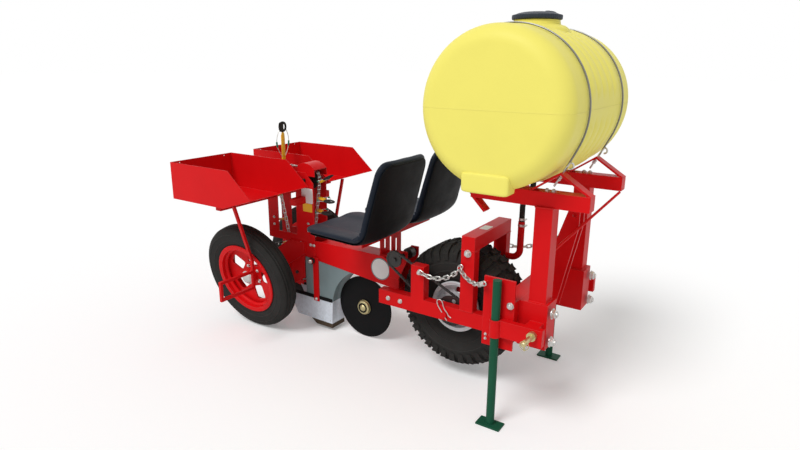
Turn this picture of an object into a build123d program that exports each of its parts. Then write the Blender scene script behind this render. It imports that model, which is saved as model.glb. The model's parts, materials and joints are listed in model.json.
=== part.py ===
"""Bare root transplanter: a two-seat planter for the three-point hitch.

Millimetres. +X points to the tractor, +Y to the left, +Z up, the floor is Z = 0.
Lengths along the machine are measured from the drive axle, heights from the floor.
"""

import os
from math import acos, atan2, cos, degrees, radians, sin, sqrt

from build123d import *

SIDES = (("left", 1), ("right", -1))
WALL = 5.0  # wall of the steel tubes
PLATE = 6.0  # side plates and brackets
SHEET = 3.0  # tray and guard sheet
FIT = 0.3  # gap between pieces that slip together
RUN = 0.05  # gap of a bearing on its shaft
PAST = 1.0  # how far a cut runs past a face
FAR = 1500.0  # longer than any cut needs

# Drive wheel, between the rails
DRIVE_R = 325.0  # over the lugs
DRIVE_HALF = 122.0  # half the tyre's width
DRIVE_Z = 387.0  # axle height: the stands hold the wheel off the floor
DRIVE_AXLE_R = 15.0
DRIVE_BEAD_R = 125.0
DRIVE_BEAD = 90.0  # half the width between the rim's flanges
DRIVE_TOE = 17.0  # straight of the sidewall above the bead
DRIVE_BULGE = 65.0  # height of the sidewall's wide part above the bead
DRIVE_TUCK = (4.0, 2.0)  # sidewall inside the lugs' ends, low and high
DRIVE_SHOULDER = (40.0, 36.0)  # shoulder's height and its set-in from the side
LUG_H = 20.0
LUG_ROOT = 40.0  # lug inside the carcass
LUG_CROWN = 3.0  # flat top of a lug below the round of the tips
LUG_COUNT = 20  # in each of the two rows
LUG_OUTLINE = (  # place across, place along
    (8.0, -8.0), (62.0, -30.0), (DRIVE_HALF, -30.0), (DRIVE_HALF, 14.0), (70.0, 14.0), (8.0, 34.0))
RIM_T = 10.0
FLANGE_T = 6.0
FLANGE_H = 9.0  # drive rim's flange above the bead
DISC_T = 8.0
DRIVE_DISC = (-62.0, 8.0)  # disc's place across the wheel and its dish
HUB_R = 46.0
HUB_Y = (-75.0, 60.0)
HUB_NECK_R = 28.0
HUB_NECK = (10.0, 50.0)  # neck past the sprocket, and past the hub's other end
DRIVE_HOLES = (5, 17.0)  # holes of the rim's disc: how many, radius

# Packing wheels, leaning in at the bottom
PACK_R = 330.0
PACK_HALF = 57.0
PACK_TREAD = 34.0  # half the flat of the tread
PACK_SHOULDER = (18.0, 6.0)  # shoulder's height and its set-in from the side
PACK_BEAD_R = 205.0
PACK_BEAD = 42.0  # half the tyre's width at its beads
PACK_BULGE = 65.0  # height of the widest part above the bead
PACK_FLANGE = (46.0, 16.0)  # half the width between the flanges and their height
PACK_RIM_T = 12.0
PACK_DISH = 20.0
PACK_HUB_R = 44.0
PACK_HUB_Y = (-60.0, 30.0)
PACK_WINDOWS = (5, 86.0, 74.0, 16.0)  # how many, length, width, corner radius
PACK_LEAN = 10.8  # degrees
PACK_BACK = 1305.0  # behind the drive axle
PACK_Y = 266.0
PACK_AXLE_R = 17.0
PACK_STUB = (40.0, 150.0)  # stub axle outside and inside the wheel's middle
PACK_COLLAR = (28.0, 14.0)  # collar behind the hub: radius, width
PACK_ARM = (90.0, 30.0)  # arm's plate along the tower, before and behind the beam's tail
PACK_FOOT = (45.0, 12.0, 60.0)  # arm's foot: half length, below and above the wheel's middle
PACK_Z = PACK_R * cos(radians(PACK_LEAN)) + PACK_TREAD * sin(radians(PACK_LEAN))

# The origin is the middle of the machine's length, on the floor
BAR_GAP = 20.0  # drive tyre to toolbar
BAR_DEPTH = 75.0
POST_AHEAD = 75.0  # hitch posts before the toolbar
CRADLE_AHEAD = 181.0  # cradle's front end before the posts
CRADLE_FRONT = DRIVE_R + BAR_GAP + BAR_DEPTH + POST_AHEAD + CRADLE_AHEAD
AXLE_X = (PACK_BACK + PACK_R - CRADLE_FRONT) / 2

# Rails beside the drive wheel
RAIL_GAP = 36.0  # tyre to rail
RAIL_W = 51.0
RAIL_Y = (DRIVE_HALF + RAIL_GAP, DRIVE_HALF + RAIL_GAP + RAIL_W)
RAIL_Z = (DRIVE_Z - 32, DRIVE_Z + 45)
AXLE_END = 14.0  # axle past the rails

# Front frame
BAR_X = (AXLE_X + DRIVE_R + BAR_GAP, AXLE_X + DRIVE_R + BAR_GAP + BAR_DEPTH)
BAR_Z = (RAIL_Z[1] + 68, RAIL_Z[1] + 168)
END_Y = 350.0  # inner face of the toolbar's end plates
END_T = 10.0
END_X = (BAR_X[0] - 70, BAR_X[1])
END_Z = (BAR_Z[0] - 125, BAR_Z[1] + 98)
POST_W = 76.0
POST_X = BAR_X[1] + POST_AHEAD
POST_Y = 256.0
COLLAR_T = 15.0
COLLAR_H = 206.0
POST_FOOT = BAR_Z[0] - 105
ARM_T = 30.0
ARM_Y = (END_Y + END_T, END_Y + END_T + ARM_T)  # hitch arm, outside the end plate
ARM_FRONT = POST_X + 65
ARM_Z = (BAR_Z[0] - 57, BAR_Z[0] + 19)
ARM_TIE = (20.0, 40.0)  # tie from collar to arm, behind and before the post's middle
PIN_R = 11.0  # lower hitch pin
PIN_LENGTH = 86.0
PIN_SHOULDER = 20.0  # the shoulder's radius and length
PIN_CHAMFER = 3.0
PIN_X = POST_X + 24
PIN_Z = ARM_Z[0] + 49
MAST_HALF = 40.0
MAST_DROP = 20.0  # mast's foot below the toolbar
MAST_FOOT = 70.0  # length of that foot
MAST_HEEL = 40.0  # where the mast leaves the toolbar, above it
MAST_WEB = 10.0
MAST_EDGE = (25.0, 22.0)  # metal behind and before the bore
MAST_ABOVE = 30.0  # metal over the bore
TOP_BORE_R = 9.7
TOP_BORE_CLEAR = 5.0  # top-link pin to the posts
TOP_BORE_X = POST_X + POST_W / 2 + TOP_BORE_R + TOP_BORE_CLEAR
TOP_BORE_Z = 940.0

# Parking stands
STAND_R = 19.0
STAND_X = BAR_X[0] + 3
STAND_TOP = 700.0
SLEEVE_R = STAND_R + 7
SLEEVE_Z = (ARM_Z[0] - 3, ARM_Z[1] + 1)
FOOT = (115.0, 66.0, 8.0)  # foot plate along X, Y and Z
STAND_Y = ARM_Y[0] + SLEEVE_R

# Tank and its cradle
CRADLE_W = 64.0
CRADLE_REAR = POST_X - 340
CRADLE_Y = 252.0
CRADLE_Z = 1017.0  # underside of the beams
CRADLE_TOP = CRADLE_Z + CRADLE_W
LUG_REACH = (62.0, 8.0)  # strap lug under the beam's rear end: its fall, its thickness
TANK_R = 330.0
TANK_HALF = 468.0
TANK_END_R = 70.0
TANK_WALL = 6.0
TANK_X = POST_X - 196
TANK_Z = CRADLE_TOP + TANK_R + FIT
TANK_FEET = (105.0, 76.0, 4.0, 86.0, 6.0)  # half length, width, set-in, height, drop
RIB_H = 6.0
RIB_W = 26.0  # half a rib's width
RIB_STEP = 84.0
RIB_ROOT = 2.0
NECK_R = 98.0
NECK_H = 26.0
LID_R = NECK_R + 10
LID_H = 40.0
LID_SKIRT = 24.0
LID_CROWN = 30.0  # sloping edge of the lid's top
OUTLET_R = 30.0
OUTLET_X = TANK_X - 29
OUTLET_Y = RAIL_Y[0] + 14
OUTLET_DROP = 14.0
STRAP_R = 4.0
STRAP_SIDES = 6
STRAP_OVER = 8.0  # strap's ends past the saddle's peak and below the beam
SADDLE_W = 50.0
SADDLE_T = 10.0
SADDLE_CLEAR = 17.4  # saddle's peak to the drum
SADDLE_FOOT = POST_X - 75
SADDLE_OUT = (TANK_R + SADDLE_CLEAR) * cos(radians(45))
SADDLE_PEAK = (TANK_X + SADDLE_OUT, TANK_Z - SADDLE_OUT)
SWAY_R = 6.0
SWAY_SINK = 0.6  # the rod's weld into beam and post
SWAY_FRONT = 8.0  # from the beam's front end and inner side
SWAY_FOOT = 25.0  # before the post's middle
SWAY_LOW = 815.0

# Rail ends, wheel arch and lift chains
ARCH_X = (AXLE_X + 81, AXLE_X + 151)
ARCH_BEAM = 68.0
ARCH_CLEAR = 27.0  # tyre to arch
ARCH_TOP = DRIVE_Z + DRIVE_R + ARCH_CLEAR + ARCH_BEAM
CHAIN_POST_X = (AXLE_X - 197, AXLE_X - 122)
CHAIN_POST_TOP = RAIL_Z[1] + 175
LINK_WIRE = 7.0
LINK_GAP = 1.1  # play of a link in the next
LINK_SLOT = 11.0
LINKS = 11
CHAIN_PITCH = 25.0
LINK_INNER = CHAIN_PITCH + LINK_GAP
CHAIN_BOLT_R = 3.5
CHAIN_A = (CHAIN_POST_X[1] - 15, RAIL_Y[1], CHAIN_POST_TOP - 22)  # bolts on post, arch and end plate
CHAIN_B = (ARCH_X[0] + 8, RAIL_Y[1], ARCH_TOP - ARCH_BEAM - 81)
CHAIN_C = (END_X[0] + 15, END_Y + END_T, END_Z[1] - 24)
CHAIN_BOLT_SEAT = 7.0  # bolt centre to the end of the link's slot
CHAIN_LANES = (14.0, 30.0, 29.0)  # chain's distance from the bolts' feet at A, B and C
CHAIN_BOLT_END = 8.0  # bolt past the chain

# Main beam and its jack shaft
BEAM_HALF = 54.0
BEAM_REAR = AXLE_X - 1136
BEAM_FRONT = AXLE_X - DRIVE_R - 47
BEAM_SLOPE_X = BEAM_FRONT - 108
TIE_T = 20.0  # cross tie under the beam's front end
TIE_X = (BEAM_FRONT - 24, BEAM_FRONT + 30)
BEAM_FRONT_LOW = RAIL_Z[0] + TIE_T
BEAM_FRONT_TOP = BEAM_FRONT_LOW + 125
BEAM_TOP = BEAM_FRONT_TOP + 53
BEAM_REAR_LOW = BEAM_TOP - 102
RAIL_X = (TIE_X[0], BAR_X[1])
JACK_X = BEAM_FRONT + 32
JACK_Z = BEAM_TOP + 32
JACK_R = 12.0
JACK_EYE = 24.0  # bracket round the shaft
JACK_LAP = 60.0  # bracket along the beam
JACK_DRUM = (30.0, 18.0)  # radius and half length
SPROCKET_Y = -(DRIVE_HALF + 20)
SPROCKET_T = 7.0
SPROCKET_HOLES = (5, 12.0)  # how many, radius
HUB_SPROCKET_R = 74.0
JACK_SPROCKET_R = 40.0
SHAFT_END = (12.0, 20.0)  # jack shaft past its sprocket and past the beam
CHAIN_T = 9.0  # drive chain, thick and wide
CHAIN_W = 14.0

# Seats
SEAT_Y = (40.0, 450.0)
SEAT_FRONT = AXLE_X - 700
SEAT_BEND = AXLE_X - 300
SEAT_TOP_X = AXLE_X - 205
SEAT_Z = 715.0  # underside of the pan
SEAT_TOP = 1150.0
SEAT_BACK = (13.6, 17.0)  # back's edge behind and before its middle
SEAT_EDGE = 20.0  # height of the back's sloping top edge
SEAT_CORNER = 75.0
PEDESTAL_X = (SEAT_BEND - 205, SEAT_BEND - 125)
PEDESTAL_IN = 8.0  # pedestal's sides inside the beam's
PEDESTAL_SLOT = (16.0, 30.0)  # slot's width, its ends' distance from beam and channel
CHANNEL_H = 30.0
CHANNEL_LAP = 15.0  # channel past the pedestal
CHANNEL_IN = 120.0  # channel's ends inside the seats' outer edges

# Planting tower
LOOP_R = 60.0
LOOP_SHAFT_R = 10.0
LOOP_SHAFT_END = 8.0
LOOP_TOP_Z = 915.0
LOOP_REAR_X = AXLE_X - 1255
LOOP_FRONT_X = AXLE_X - 1035
LOOP_LOW_X = AXLE_X - 1120
LOOP_LOW_Z = 330.0
LOOP_T = 8.0
LOOP_W = 22.0
BEAM_OPEN_X = LOOP_FRONT_X + 105  # the beam's top and underside are open behind this
TOWER_X = (LOOP_REAR_X - 90, LOOP_FRONT_X + 65)
TOWER_TOP = LOOP_TOP_Z + 45
TOWER_CORNER = 60.0
TOWER_WINDOW_X = (TOWER_X[0] + 83, TOWER_X[1] - 138)
TOWER_WINDOW_Z = (BEAM_TOP + 20, LOOP_TOP_Z - 80)
TOWER_NOTCH = (60.0, 30.0)  # rear corner: behind the beam's tail, below the beam's top
GUSSET_BACK = (LOOP_LOW_X - 52, BEAM_REAR_LOW + 50)  # corners of the plate that holds the low shaft
GUSSET_REAR = (LOOP_LOW_X - 41, LOOP_LOW_Z - 90)
GUSSET_FRONT = (LOOP_LOW_X + 62, LOOP_LOW_Z - 26)
GUARD_R = LOOP_R + 40
GUARD_ARC = (42.0, 82.0)  # start and sweep, degrees up from the front
GUARD_LOW = 25.0  # foot of the cheeks above the shaft
CLIP_ARM = (24.0, 10.0)  # across and thick
CLIP_PAD = (66.0, 8.0, 64.0)
CLIPS = (  # run of the chain (over the top, down behind, up in front), share along it, lean, arm's length
    (0, 0.98, 0.0, 190.0), (1, 0.2, 0.0, 60.0), (1, 0.45, 0.0, 60.0), (1, 0.7, 0.0, 60.0),
    (2, 0.7, 0.0, 40.0), (2, 0.83, 0.0, 50.0), (2, 0.99, 40.0, 40.0))

# Trays
TRAY_Y = (92.0, 534.0)
TRAY_REAR = AXLE_X - 1614
TRAY_RIM_X = AXLE_X - 1138
TRAY_LIP_X = AXLE_X - 975
TRAY_FLOOR_X = AXLE_X - 1192
TRAY_FLOOR = 818.0
TRAY_LIP_RISE = 69.0  # front lip above the floor
TRAY_RIM_RISE = 143.0  # rim above the lip
TRAY_LIP = TRAY_FLOOR + TRAY_LIP_RISE
TRAY_RIM = TRAY_LIP + TRAY_RIM_RISE
CARRIER_W = 40.0
CARRIER_LAP = 60.0  # carriers short of the tray's outer edge, and past its inner one
CARRIER_X = (TOWER_X[0] + 40, TOWER_WINDOW_X[1] + 60)

# Foot rests
STEP_X = AXLE_X - 1180
STEP_BAR = 16.0
STEP_Y = (PACK_Y + 99, PACK_Y + 339)
STEP_Z = (305.0, 420.0)
STEP_BEND = 475.0
STEP_TOP_Y = STEP_Y[0] + 105
STEP_TOP = TRAY_FLOOR - FIT + TRAY_LIP_RISE * max(
    0, (STEP_X - STEP_BAR / 2 - TRAY_FLOOR_X) / (TRAY_LIP_X - TRAY_FLOOR_X))


def beam_low(x):
    """Height of the beam's underside at a place along it."""
    return BEAM_FRONT_LOW + (BEAM_REAR_LOW - BEAM_FRONT_LOW) * (BEAM_FRONT - x) / (BEAM_FRONT - BEAM_REAR)


# Coulter
COULTER_X = AXLE_X - 644
COULTER_R = 187.0
COULTER_CLEAR = 22.0  # disc to the beam
COULTER_Z = beam_low(COULTER_X) - COULTER_R - COULTER_CLEAR
COULTER_T = 5.0
COULTER_EDGE = (2.0, 14.0)  # ground edge: thickness and width
COULTER_HUB_R = 30.0
COULTER_HUB_Y = (-26.0, 22.0)
COULTER_FLANGE = (44.0, 9.0)  # radius and half thickness
COULTER_PIN_R = 10.0
COULTER_PIN_Y = (-13.0, 40.0)
COULTER_ARM_Y = (26.0, 38.0)
COULTER_ARM_HALF = 24.0
COULTER_GAP = 12.0  # shoe behind the disc's edge

# Furrow shoe
SHOE_REAR_TOP = (AXLE_X - 1203, 195.0)
SHOE_REAR_LOW = (AXLE_X - 1126, 52.0)
SHOE_NOSE_X = AXLE_X - 700
SHOE_FRAME_REAR = GUSSET_FRONT[0] + 8
SHOE_FRAME_OPEN = 190.0  # closed length of the frame behind its nose
SHOE_ARC_Z = 320.0  # middle of the arc round the coulter
SHOE_HALF = BEAM_HALF + 4
SHOE_T = 4.0
SKIRT_NOSE = (8.0, 4.0)  # skirt's low front corner, behind its top and below its rear one
SKIRT_OPEN = 40.0
RUNNER_LOW = 20.0
RUNNER_X = (AXLE_X - 974, AXLE_X - 850)
RUNNER_HEEL = 40.0
STRUT_X = (AXLE_X - 985, AXLE_X - 945)
STRUT_T = 8.0
STRUT_LAP = 20.0  # strut over the skirt, and its bush below the strut's top
STRUT_BUSH = (14.0, 30.0)  # radius and length

# Water line
WATER_X = ARCH_X[1] + 71
PIPE_Z = ARCH_TOP - 190
JOIN_Z = PIPE_Z + 195
HOSE_R = 14.0
PIPE_R = 17.0
WATER_BEND = 45.0


def block(x, y, z, mode=Mode.ADD):
    """A block between the two X, two Y and two Z values given."""
    with Locations(((x[0] + x[1]) / 2, (y[0] + y[1]) / 2, (z[0] + z[1]) / 2)):
        Box(abs(x[1] - x[0]), abs(y[1] - y[0]), abs(z[1] - z[0]), mode=mode)


def square_tube(x, y, z, along, wall=WALL):
    """A tube with square corners along one axis, open at both ends."""
    block(x, y, z)
    spans = {"x": x, "y": y, "z": z}
    inner = {
        axis: (span[0] - PAST, span[1] + PAST) if axis == along else (span[0] + wall, span[1] - wall)
        for axis, span in spans.items()
    }
    block(inner["x"], inner["y"], inner["z"], mode=Mode.SUBTRACT)


def span(side, near, far):
    """The Y values of a piece between two distances from the middle, low first."""
    return tuple(sorted((side * near, side * far)))


def side_profile(points, y, mode=Mode.ADD):
    """A plate whose outline in X and Z is a polygon, between two Y values."""
    with BuildSketch(Plane.XZ.offset(-y[1])) as outline:
        with BuildLine():
            Polyline(points, close=True)
        make_face()
    extrude(outline.sketch, amount=y[1] - y[0], mode=mode)


def rod(start, end, radius, mode=Mode.ADD):
    """A round rod from one point to another."""
    run = Vector(*end) - Vector(*start)
    with Locations(Plane(origin=start, z_dir=run)):
        Cylinder(radius, run.length, align=(Align.CENTER, Align.CENTER, Align.MIN), mode=mode)


def cross_rod(x, z, y, radius, mode=Mode.ADD):
    """A round rod across the machine, between two Y values."""
    rod((x, y[0], z), (x, y[1], z), radius, mode)


def wheel_plane(centre, lean, side):
    """A plane with a wheel's radius along its X and its outward axis along its Y."""
    return Plane(centre, x_dir=(1, 0, 0), z_dir=(0, sin(radians(lean)), side * cos(radians(lean))))


def turned(plane, outline, mode=Mode.ADD):
    """A ring turned about the wheel's axis from its outline of (radius, offset)."""
    with BuildSketch(plane) as section:
        with BuildLine():
            Polyline(outline, close=True)
        make_face()
    revolve(section.sketch, axis=Axis(plane.origin, plane.y_dir), mode=mode)


def both_ways(half):
    """An outline of (radius, offset) from its half on one side of the wheel's middle."""
    return (*half, *((radius, -offset) for radius, offset in reversed(half)))


def save(piece, label):
    """Label a finished piece and write it."""
    piece.part.label = label
    export_step(piece.part, f"parts/{label}.step")


os.makedirs("parts", exist_ok=True)

# Toolbar with its end plates
with BuildPart() as toolbar:
    square_tube(BAR_X, (-END_Y, END_Y), BAR_Z, "y", wall=PLATE)
    for _, s in SIDES:
        block(END_X, span(s, END_Y, END_Y + END_T), END_Z)
        bolt_end = CHAIN_C[1] + CHAIN_LANES[2] + CHAIN_BOLT_END
        cross_rod(CHAIN_C[0], CHAIN_C[2], (s * CHAIN_C[1], s * bolt_end), CHAIN_BOLT_R)
save(toolbar, "toolbar")

# Hitch brackets: collar round the post, hitch arm and the stand's sleeve in one weldment
for name, s in SIDES:
    half = POST_W / 2 + FIT
    collar_y = (POST_Y - half - COLLAR_T, POST_Y + half + COLLAR_T)
    collar_z = (POST_FOOT, POST_FOOT + COLLAR_H)
    with BuildPart() as bracket:
        block((BAR_X[1], POST_X + half + COLLAR_T), span(s, *collar_y), collar_z)
        block((POST_X - ARM_TIE[0], POST_X + ARM_TIE[1]), span(s, collar_y[1], ARM_Y[0]), ARM_Z)
        block((STAND_X, ARM_FRONT), span(s, *ARM_Y), ARM_Z)
        rod((STAND_X, s * STAND_Y, SLEEVE_Z[0]), (STAND_X, s * STAND_Y, SLEEVE_Z[1]), SLEEVE_R)
        block((POST_X - half, POST_X + half), span(s, POST_Y - half, POST_Y + half),
              (collar_z[0] - PAST, collar_z[1] + PAST), Mode.SUBTRACT)
        rod((STAND_X, s * STAND_Y, SLEEVE_Z[0] - PAST), (STAND_X, s * STAND_Y, SLEEVE_Z[1] + PAST),
            STAND_R + FIT, Mode.SUBTRACT)
        cross_rod(PIN_X, PIN_Z, (s * (ARM_Y[0] - PAST), s * (ARM_Y[1] + PAST)), PIN_R + FIT, Mode.SUBTRACT)
    save(bracket, f"hitch_bracket_{name}")

    with BuildPart() as post:
        square_tube(
            (POST_X - POST_W / 2, POST_X + POST_W / 2),
            span(s, POST_Y - POST_W / 2, POST_Y + POST_W / 2),
            (POST_FOOT, CRADLE_Z), "z", wall=PLATE)
    save(post, f"hitch_post_{name}")

    with BuildPart() as stand:
        rod((STAND_X, s * STAND_Y, FOOT[2]), (STAND_X, s * STAND_Y, STAND_TOP), STAND_R)
        block((STAND_X - FOOT[0] / 2, STAND_X + FOOT[0] / 2),
              span(s, STAND_Y - FOOT[1] / 2, STAND_Y + FOOT[1] / 2), (0, FOOT[2]))
    save(stand, f"stand_{name}")

with BuildPart() as pins:
    for _, s in SIDES:
        shoulder_end = ARM_Y[1] + PIN_SHOULDER
        cross_rod(PIN_X, PIN_Z, (s * ARM_Y[0], s * (shoulder_end + PIN_LENGTH)), PIN_R)
        cross_rod(PIN_X, PIN_Z, (s * ARM_Y[1], s * shoulder_end), PIN_SHOULDER)
    tips = pins.edges().filter_by(GeomType.CIRCLE).sort_by(Axis.Y)
    chamfer((tips[0], tips[-1]), PIN_CHAMFER)
save(pins, "hitch_pins")

# Top-link mast: two cheeks and a back web, leaning forward from the toolbar
with BuildPart() as mast:
    foot_z = BAR_Z[0] - MAST_DROP
    heel = (BAR_X[1], BAR_Z[1] + MAST_HEEL)
    neck_z = TOP_BORE_Z - 2 * MAST_ABOVE
    web_z = TOP_BORE_Z - 4 * MAST_ABOVE
    top_x = (TOP_BORE_X - MAST_EDGE[0], TOP_BORE_X + MAST_EDGE[1])
    top_z = TOP_BORE_Z + MAST_ABOVE
    cheek = ((BAR_X[1], foot_z), (BAR_X[1] + MAST_FOOT, foot_z), (top_x[1], neck_z), (top_x[1], top_z),
             (top_x[0], top_z), heel)
    for _, s in SIDES:
        side_profile(cheek, span(s, MAST_HALF - 2 * PLATE, MAST_HALF))
    web_x = top_x[0] - 2 * PLATE
    web = ((BAR_X[1], foot_z), (BAR_X[1] + MAST_WEB, foot_z), (BAR_X[1] + MAST_WEB, heel[1] - PLATE),
           (web_x + MAST_WEB, web_z), (web_x, web_z), heel)
    side_profile(web, (-MAST_HALF, MAST_HALF))
    cross_rod(TOP_BORE_X, TOP_BORE_Z, (-MAST_HALF - PAST, MAST_HALF + PAST), TOP_BORE_R, Mode.SUBTRACT)
save(mast, "top_link_mast")

# Tank cradle: beams, each with a bent saddle in front and a hook lug behind
for name, s in SIDES:
    front = AXLE_X + CRADLE_FRONT
    saddle_y = span(s, CRADLE_Y - SADDLE_W / 2, CRADLE_Y + SADDLE_W / 2)
    with BuildPart() as cradle:
        square_tube((CRADLE_REAR, front), span(s, CRADLE_Y - CRADLE_W / 2, CRADLE_Y + CRADLE_W / 2),
                    (CRADLE_Z, CRADLE_TOP), "x")
        saddle = (
            (front, CRADLE_TOP), SADDLE_PEAK, (SADDLE_FOOT, CRADLE_TOP),
            (SADDLE_FOOT + 1.4 * SADDLE_T, CRADLE_TOP), (SADDLE_PEAK[0], SADDLE_PEAK[1] - SADDLE_T),
            (front - 1.8 * SADDLE_T, CRADLE_TOP))
        side_profile(saddle, saddle_y)
        fall, thick = LUG_REACH
        lug = ((CRADLE_REAR, CRADLE_Z), (CRADLE_REAR + fall, CRADLE_Z - fall),
               (CRADLE_REAR + fall + thick, CRADLE_Z - fall + thick), (CRADLE_REAR + 2 * thick, CRADLE_Z))
        side_profile(lug, saddle_y)
    save(cradle, f"tank_cradle_{name}")

with BuildPart() as sway:
    rod((front - SWAY_FRONT, CRADLE_Y - CRADLE_W / 2 + SWAY_FRONT, CRADLE_Z - SWAY_R - SWAY_SINK),
        (POST_X + SWAY_FOOT, POST_W / 2 - POST_Y + SWAY_R * SWAY_SINK, SWAY_LOW), SWAY_R)
save(sway, "sway_rod")

# Tank: a hollow drum across the machine, with ribs between the straps
TANK_PLANE = Plane((TANK_X, 0, TANK_Z), x_dir=(1, 0, 0), z_dir=(0, 0, 1))
with BuildPart() as tank:
    with BuildSketch(TANK_PLANE) as half_section:
        with BuildLine():
            Polyline((0, -TANK_HALF), (TANK_R, -TANK_HALF), (TANK_R, TANK_HALF), (0, TANK_HALF), close=True)
        make_face()
        fillet(half_section.vertices().group_by(Axis.X)[-1], TANK_END_R)
    revolve(half_section.sketch, axis=Axis((TANK_X, 0, TANK_Z), (0, 1, 0)))
    for i in range(-2, 3):
        turned(TANK_PLANE, (
            (TANK_R - RIB_ROOT, i * RIB_STEP - RIB_W), (TANK_R + RIB_H, i * RIB_STEP),
            (TANK_R - RIB_ROOT, i * RIB_STEP + RIB_W)))
    rod((TANK_X, 0, TANK_Z), (TANK_X, 0, TANK_Z + TANK_R + NECK_H), NECK_R)
    foot_half, foot_w, foot_in, foot_h, foot_drop = TANK_FEET
    foot_low = TANK_Z - TANK_R - foot_drop
    for _, s in SIDES:
        foot_y = span(s, TANK_HALF - foot_in - foot_w, TANK_HALF - foot_in)
        block((TANK_X - foot_half, TANK_X + foot_half), foot_y, (foot_low, foot_low + foot_h))
    outlet_low = TANK_Z - TANK_R - OUTLET_DROP
    rod((OUTLET_X, OUTLET_Y, outlet_low), (OUTLET_X, OUTLET_Y, outlet_low + OUTLET_R + TANK_WALL), OUTLET_R)
    inside_r, inside_half, corner = TANK_R - TANK_WALL, TANK_HALF - TANK_WALL, TANK_END_R - TANK_WALL
    turned(TANK_PLANE, both_ways((
        (0, inside_half), (inside_r - corner * 0.6, inside_half), (inside_r, inside_half - corner))),
        Mode.SUBTRACT)
    rod((TANK_X, 0, TANK_Z), (TANK_X, 0, TANK_Z + TANK_R + NECK_H + PAST), NECK_R - TANK_WALL, Mode.SUBTRACT)
save(tank, "tank")

with BuildPart() as lid:
    lid_plane = Plane((TANK_X, 0, TANK_Z + TANK_R + NECK_H + FIT), x_dir=(1, 0, 0), z_dir=(0, -1, 0))
    turned(lid_plane, ((0, 0), (LID_R, 0), (LID_R, LID_SKIRT), (LID_R - LID_CROWN, LID_H), (0, LID_H)))
save(lid, "tank_lid")

# Tank straps: a wire over the drum from each saddle's peak to the lug behind
STRAP_WRAP = TANK_R + FIT + STRAP_R
STRAP_ENDS = (
    (SADDLE_PEAK[0] + STRAP_OVER - TANK_X, SADDLE_PEAK[1] + STRAP_R + FIT - TANK_Z),
    (CRADLE_REAR - STRAP_R - FIT - TANK_X, CRADLE_Z - STRAP_OVER - TANK_Z))
with BuildPart() as straps:
    leave = [
        atan2(z, x) + turn * acos(STRAP_WRAP / sqrt(x * x + z * z))
        for (x, z), turn in zip(STRAP_ENDS, (1, -1))
    ]
    for _, s in SIDES:
        centre = Vector(TANK_X, s * CRADLE_Y, TANK_Z)
        out = [Vector(cos(a), 0, sin(a)) * STRAP_WRAP for a in leave]
        with BuildSketch(Plane(centre + out[0], x_dir=(0, 1, 0), z_dir=Vector(0, -1, 0).cross(out[0]))) as wire:
            RegularPolygon(STRAP_R, STRAP_SIDES)
        revolve(wire.sketch, axis=Axis(centre, (0, -1, 0)), revolution_arc=degrees(leave[1] - leave[0]) % 360)
        for (x, z), edge in zip(STRAP_ENDS, out):
            rod(tuple(centre + edge), tuple(centre + Vector(x, 0, z)), STRAP_R)
save(straps, "tank_straps")

# Side rails, with ears up to the toolbar and posts for the lift chains
for name, s in SIDES:
    y = span(s, *RAIL_Y)
    outer = s * RAIL_Y[1]
    with BuildPart() as rail:
        square_tube(RAIL_X, y, RAIL_Z, "x")
        square_tube(BAR_X, y, (RAIL_Z[1], BAR_Z[0]), "z")
        square_tube(CHAIN_POST_X, y, (RAIL_Z[1], CHAIN_POST_TOP), "z")
        cross_rod(CHAIN_A[0], CHAIN_A[2], (outer, outer + s * (CHAIN_LANES[0] + CHAIN_BOLT_END)), CHAIN_BOLT_R)
        cross_rod(AXLE_X, DRIVE_Z, (s * (RAIL_Y[0] - PAST), s * (RAIL_Y[1] + PAST)), DRIVE_AXLE_R + FIT,
                  Mode.SUBTRACT)
    save(rail, f"side_rail_{name}")

    with BuildPart() as arch_post:
        square_tube(ARCH_X, y, (RAIL_Z[1], ARCH_TOP - ARCH_BEAM), "z")
        cross_rod(CHAIN_B[0], CHAIN_B[2], (outer, outer + s * (CHAIN_LANES[1] + CHAIN_BOLT_END)), CHAIN_BOLT_R)
    save(arch_post, f"arch_post_{name}")

    # Lift chain: links stand by turns upright and flat along two hanging arcs
    with BuildPart() as chain:
        for start, end, lanes in (
            (CHAIN_A, CHAIN_B, (CHAIN_LANES[0], CHAIN_LANES[0])), (CHAIN_B, CHAIN_C, CHAIN_LANES[1:])
        ):
            head = Vector(start[0], s * (start[1] + lanes[0]), start[2])
            tail = Vector(end[0], s * (end[1] + lanes[1]), end[2])
            run = (tail - head).length
            reach = LINK_INNER / 2 - CHAIN_BOLT_SEAT
            slack = 2 * reach + (LINKS - 1) * CHAIN_PITCH - run
            sag = sqrt(3 * run * max(slack, 1) / 8)
            hang = Edge.make_three_point_arc(head, (head + tail) / 2 - Vector(0, 0, sag), tail)
            for i in range(LINKS):
                at = (reach + i * (hang.length - 2 * reach) / (LINKS - 1)) / hang.length
                along = hang.tangent_at(at)
                upright = Vector(0, 1, 0).cross(along).cross(along).normalized()
                turn = upright if i % 2 == 0 else along.cross(upright)
                ring = Plane(hang.position_at(at), x_dir=along, z_dir=turn)
                with BuildSketch(ring) as link:
                    Rectangle(LINK_INNER + 2 * LINK_WIRE, LINK_SLOT + 2 * LINK_WIRE)
                    chamfer(link.vertices(), LINK_WIRE)
                    Rectangle(LINK_INNER, LINK_SLOT, mode=Mode.SUBTRACT)
                extrude(link.sketch, amount=LINK_WIRE / 2, both=True)
    save(chain, f"lift_chain_{name}")

with BuildPart() as arch_top:
    square_tube(ARCH_X, (-RAIL_Y[1], RAIL_Y[1]), (ARCH_TOP - ARCH_BEAM, ARCH_TOP), "y")
save(arch_top, "arch_top")

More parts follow.
